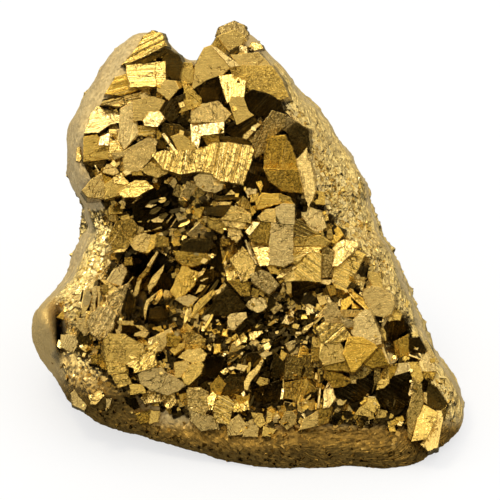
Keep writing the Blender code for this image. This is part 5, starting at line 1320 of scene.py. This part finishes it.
def grow(name, kinds, at, outward, sizes, proud, tilt, family=0.5, cracks=0.0, led=0.0, black=0.0,
         shadow=2.0):
    """Plants crystals of the given kinds and sizes in the rock, as proud of it as told, and makes the piece.

    They tilt by about tilt degrees from the outward direction, or from the way the large crystals near
    them face, as far as they are led by those. Family is how alike neighbours lean, black the share
    painted black as shade, and shadow how soon their sides are painted darker as shade."""
    count = len(at)
    lean = math.tan(math.radians(tilt))
    right, up, shaded_share = follow(at)
    facing = np.column_stack((np.tan(np.radians(right)), np.tan(np.radians(up)), np.ones(count)))
    axis = outward * (1 - led) + facing * led
    stray = rng.normal(0, 1, (count, 3)) * rng.choice((0.7, 2.2), (count, 1), p=(0.85, 0.15))
    axis = axis + lean * (family * drift(at, 4.5, 3) + (1 - family) * stray)
    axis /= np.linalg.norm(axis, axis=1)[:, None]
    side = np.cross(axis, drift(at, 6, 40) + (1 - family) * rng.normal(0, 0.6, (count, 3)))
    side /= np.linalg.norm(side, axis=1)[:, None]
    turn = np.stack((side, np.cross(axis, side), axis), axis=1)
    origin = at + outward * np.asarray(proud)[:, None]
    kind = rng.integers(0, len(kinds), count)
    # The share painted black as shade: from the gloom patches or the large crystals near, and at least black.
    shaded_share = np.maximum(np.maximum(gloom(at), shaded_share) * (led > 0), black)
    dark = np.where(rng.random(count) < shaded_share, rng.uniform(0.94, 1, count), 0)
    tones = rng.random(count)
    gathered = Gathered()
    for i, size in enumerate(sizes):
        body, faces, below = kinds[kind[i]]
        own = body * size + TONE_STEP * tones[i]
        points = body @ turn[i] * size + origin[i]
        gathered.add(points, faces, below * size * shadow, own, tones[i], dark[i], cracks)
    return gathered.piece(name)


rand = random.Random(8)
crust_shapes = shapes(24, rand, wear=0.03)
# How many are tried, the gap between them, their sizes, how proud they stand, how far they tilt and how
# far they keep off the large crystals.
for count, gap, size, proud, tilt, off, name in (
    (700, 2.4, (2.2, 3.4), (0.2, 0.9), 12, 0.7, "crust_large"),
    (2600, 1.2, (1.1, 2.0), (0.2, 1.0), 14, 0.3, "crust_medium"),
):
    at, outward = spots(count, partial(in_field, within=1 - 0.02 * gap), gap)
    free = ~under_blocks(at, off) & out_of_caves(at) & (gloom(at) < 0.5)
    at, outward = at[free], outward[free]
    sizes, heights = rng.uniform(*size, len(at)), rng.uniform(*proud, len(at))
    crust = grow(name, crust_shapes, at, outward, sizes, heights, tilt, cracks=0.4, led=0.8, black=0.3)
    crust.data.materials.append(crystal_gold)
    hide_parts("specimen")
    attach(crust, "root")

# ------------------------------------------------------------------ the blades
# Thin plates standing side by side in the hollow at the left and in the crevices, all leaning the same
# way. They grew edge on from the hollow's wall, so their ends are pointed, and their roots are painted dark
# as shade.

# Where they grow: outline, how many, length, width, direction, lean to the right and up, tone and how
# many of them are painted black as shade.
BLADE_BEDS = [
    ([(-18, 22), (-17, 26), (-12, 27.6), (-9.4, 26), (-10.6, 21.4), (-15, 20.6)], 18, (2.0, 4.2), (0.35, 0.9),
     64, 18, 0, 0.5, 0.5),
    ([(-24.2, 20), (-21.8, 26), (-17.8, 25), (-17.6, 19), (-20, 17.8)], 40, (1.4, 2.8), (0.5, 1.0),
     66, 10, 2, 0.2, 0.2),
    ([(-10, 20.6), (-8.6, 27), (-3, 28.6), (-1.6, 24), (-5, 20)], 14, (1.8, 3.4), (0.3, 0.7),
     55, 10, 2, 0.6, 0.6),
    ([(-4, 15), (-2, 20), (9, 23), (10, 18), (3, 14)], 30, (1.0, 2.4), (0.25, 0.6), 40, 6, -6, 0.6, 0.75),
    ([(0, 9), (-1, 14.6), (9, 15.6), (11, 10)], 30, (1.4, 3.2), (0.25, 0.6), 74, 8, -4, 0.6, 0.65),
    ([(17, 7), (17.6, 14), (23, 15), (24, 9)], 10, (1.6, 3.2), (0.25, 0.6), 72, 4, -4, 0.6, 0.7),
    ([(-17.6, 31.4), (-18, 36), (-12, 38), (-9, 34), (-11, 31)], 20, (0.9, 2.2), (0.4, 0.9),
     20, -4, 0, 0.4, 0.5),
]
BLADE_OUTLINE = [(-1, 0.1), (-0.6, -0.9), (0.3, -1), (1, -0.2), (0.75, 0.8), (-0.5, 1)]
BLADE_GAP = 0.75  # the least distance between the middles of two blades
# The black blades are painted shade of the hollows and crevices.
BLADE_DARK = 0.9  # how dark the black ones are
gathered = Gathered()
for bed, count, length, width, direction, right, up, tone, black in BLADE_BEDS:
    (low_a, low_u), (high_a, high_u) = np.min(bed, axis=0), np.max(bed, axis=0)
    placed = []
    for _ in range(count * 12):
        at = np.array((rand.uniform(low_a, high_a), rand.uniform(low_u, high_u)))
        if len(placed) == count:
            break
        if not inside_outline(at[:1], at[1:], bed)[0] or any(math.dist(at, p) < BLADE_GAP for p in placed):
            continue
        placed.append(at)
        turn = math.radians(rand.gauss(direction, 8))
        ahead, aside = np.array((math.cos(turn), math.sin(turn))), np.array((-math.sin(turn), math.cos(turn)))
        ahead, aside = ahead * (rand.uniform(*length) / 2), aside * (rand.uniform(*width) / 2)
        outline = [
            tuple(at + ahead * x * rand.uniform(0.8, 1.1) + aside * y * rand.uniform(0.7, 1.1))
            for x, y in BLADE_OUTLINE
        ]
        level = surface_at(*at) + rand.uniform(0.6, 2.0)
        lean = rand.gauss(right, 8), rand.gauss(up, 9)
        depth, root = rand.uniform(2.4, 3.4), (rand.uniform(0, 0.8), -0.4)
        points, faces, below = block_mesh(level, *lean, depth, root, outline, (), rand, whole=False, wear=0)
        own_tone = min(max(tone + rand.uniform(-0.3, 0.3), 0), 1)
        own = along_lines(points, math.degrees(turn), own_tone)
        gathered.add(points, faces, below, own, own_tone, BLADE_DARK if rand.random() < black else 0)
blades = gathered.piece("blades")
blades.data.materials.append(crystal_gold)
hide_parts("specimen")
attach(blades, "root")

# ------------------------------------------------------------------ the specks on the large crystals
# The last and smallest crystals of the face, under a millimetre, that started to grow on the bright
# facets of the large ones. They are the same brassy mineral, each rooted in the facet that it sits on.
SPECK_SHARE = 0.12  # the share of a facet's corners that have a speck near them
gathered = Gathered()
speck_shapes = shapes(8, rand)
for row, mid in zip(FACETS, facet_mids):
    slope = slope_of(row["right"], row["up"])
    for corner in row["corners"]:
        if rand.random() < SPECK_SHARE and row["dark"] < 0.5:
            at = mid + (np.array(corner) - mid) * rand.uniform(0.3, 1.1)
            at = at + (rand.uniform(-0.3, 0.3), rand.uniform(-0.3, 0.3))
            body, faces, below = rand.choice(speck_shapes)
            turn = Euler([rand.gauss(0, 0.35), rand.gauss(0, 0.35), rand.uniform(0, 6.3)])
            size = rand.uniform(0.25, 0.75)
            level = row["level"] - slope @ (at - mid) + size * rand.uniform(0.0, 0.2)
            points = body @ np.array(turn.to_matrix()).T * size + np.array((*at, level))
            lines_turn, tone = rand.uniform(0, 180), rand.random()
            gathered.add(points, faces, below * size + 0.1, along_lines(points, lines_turn, tone), tone)
parasites = gathered.piece("specks_on_the_large_crystals")
parasites.data.materials.append(crystal_gold)
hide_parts("specimen")
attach(parasites, "root")

# ------------------------------------------------------------------ the small crystals
# Crystals from a third of a millimetre to one, which fill what the larger ones leave open. They grew in
# the same way, out of the rock and facing as their neighbours do, and nearly half are painted black as shade.
small_shapes = shapes(16, rand)
at, outward = spots(24000, in_field, 0.45)
free = ~under_blocks(at, -0.1) & out_of_caves(at)
at, outward = at[free], outward[free]
sizes = rng.uniform(0.35, 1.1, len(at))
heights = rng.uniform(0.1, 0.9, len(at))
small = grow(
    "small_crystals", small_shapes, at, outward, sizes, heights, 20, cracks=0.4, led=0.8, black=0.45,
)
small.data.materials.append(crystal_gold)
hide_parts("specimen")
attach(small, "root")

# ------------------------------------------------------------------ the grains of the flanks
# The right flank, the left shoulder and the broken back are rock of coarse, cube-like grains packed side
# by side. They are paler than the crystals, part of the lump itself, and stand only a little proud of it.
LOWER_LEFT = 18.5  # below this, and left of the middle, the rock is dull and has grit instead


def on_flank(points, outward):
    """Which points belong to the sparkling flanks, as far as they are seen from the front."""
    a, u, n = points.T
    lower_left = (a < 0) & ((u < LOWER_LEFT) | (a < -27)) & (n > -12)
    return (zones(points, outward)[1] > 0.5) & ~lower_left & (outward[:, 2] > 0)


def at_the_back(points, outward):
    """Which points belong to the broken sides and back."""
    return (outward[:, 2] < -0.3) & (zones(points, outward)[0] < 0.3)


grain_shapes = shapes(12, rand)
at, outward = spots(10000, on_flank, 0.52)
at, outward = (part[~under_blocks(at, 0.1)] for part in (at, outward))
sizes = rng.choice((0.5, 0.7, 1.0), len(at), p=(0.5, 0.35, 0.15)) * rng.uniform(0.75, 1.2, len(at))
heights = rng.uniform(-0.05, 0.16, len(at)) - 0.65 * (1 - share(outward[:, 2], 0.15, 0.6))
outward = outward + (at[:, 0] < -17)[:, None] * (0.0, 0.16, 0.0)
back_at, back_outward = spots(4000, at_the_back, 1.0)
at, outward = np.vstack((at, back_at)), np.vstack((outward, back_outward))
sizes = np.append(sizes, rng.uniform(0.8, 1.7, len(back_at)))
heights = np.append(heights, rng.uniform(-0.4, 0.1, len(back_at)))
grains = grow(
    "flank_grains", grain_shapes, at, outward, sizes, heights, 20, family=0.3, cracks=0.5, shadow=0.3,
)
PALE_GOLDS = ((0.95, 0.86, 0.66), (0.95, 0.85, 0.60), (0.93, 0.79, 0.44), (0.88, 0.66, 0.24))
grain_gold = crystal_material("pale_gold_grains", 0.4, 0.3, PALE_GOLDS, 0.1)
grains.data.materials.append(grain_gold)
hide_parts("specimen")
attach(grains, "root")

# ------------------------------------------------------------------ the grit of the foot
# Dull brown-gold grains, well under a millimetre, that the foot and the lower left are made of. They are
# the same mineral, weathered, and sit almost level with the rock that holds them.
at, outward = spots(9000, lambda points, outward: zones(points, outward)[0] > 0.3, 0.5)
at, outward = (part[~under_blocks(at, 0.1)] for part in (at, outward))
sizes = rng.uniform(0.3, 0.85, len(at))
heights = rng.uniform(-0.1, 0.04, len(at)) - 0.3 * (1 - share(outward[:, 2], 0.2, 0.6))
grit = grow(
    "grit_of_the_foot", grain_shapes, at, outward, sizes, heights, 14, family=0.2, cracks=0.25, shadow=0.3,
)
DULL_GOLDS = ((0.50, 0.37, 0.18), (0.42, 0.28, 0.09), (0.34, 0.21, 0.06), (0.27, 0.16, 0.04))
grit_gold = crystal_material("dull_gold_grit", 0.15, 0.16, DULL_GOLDS, 0.0)
grit.data.materials.append(grit_gold)
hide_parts("specimen")
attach(grit, "root")
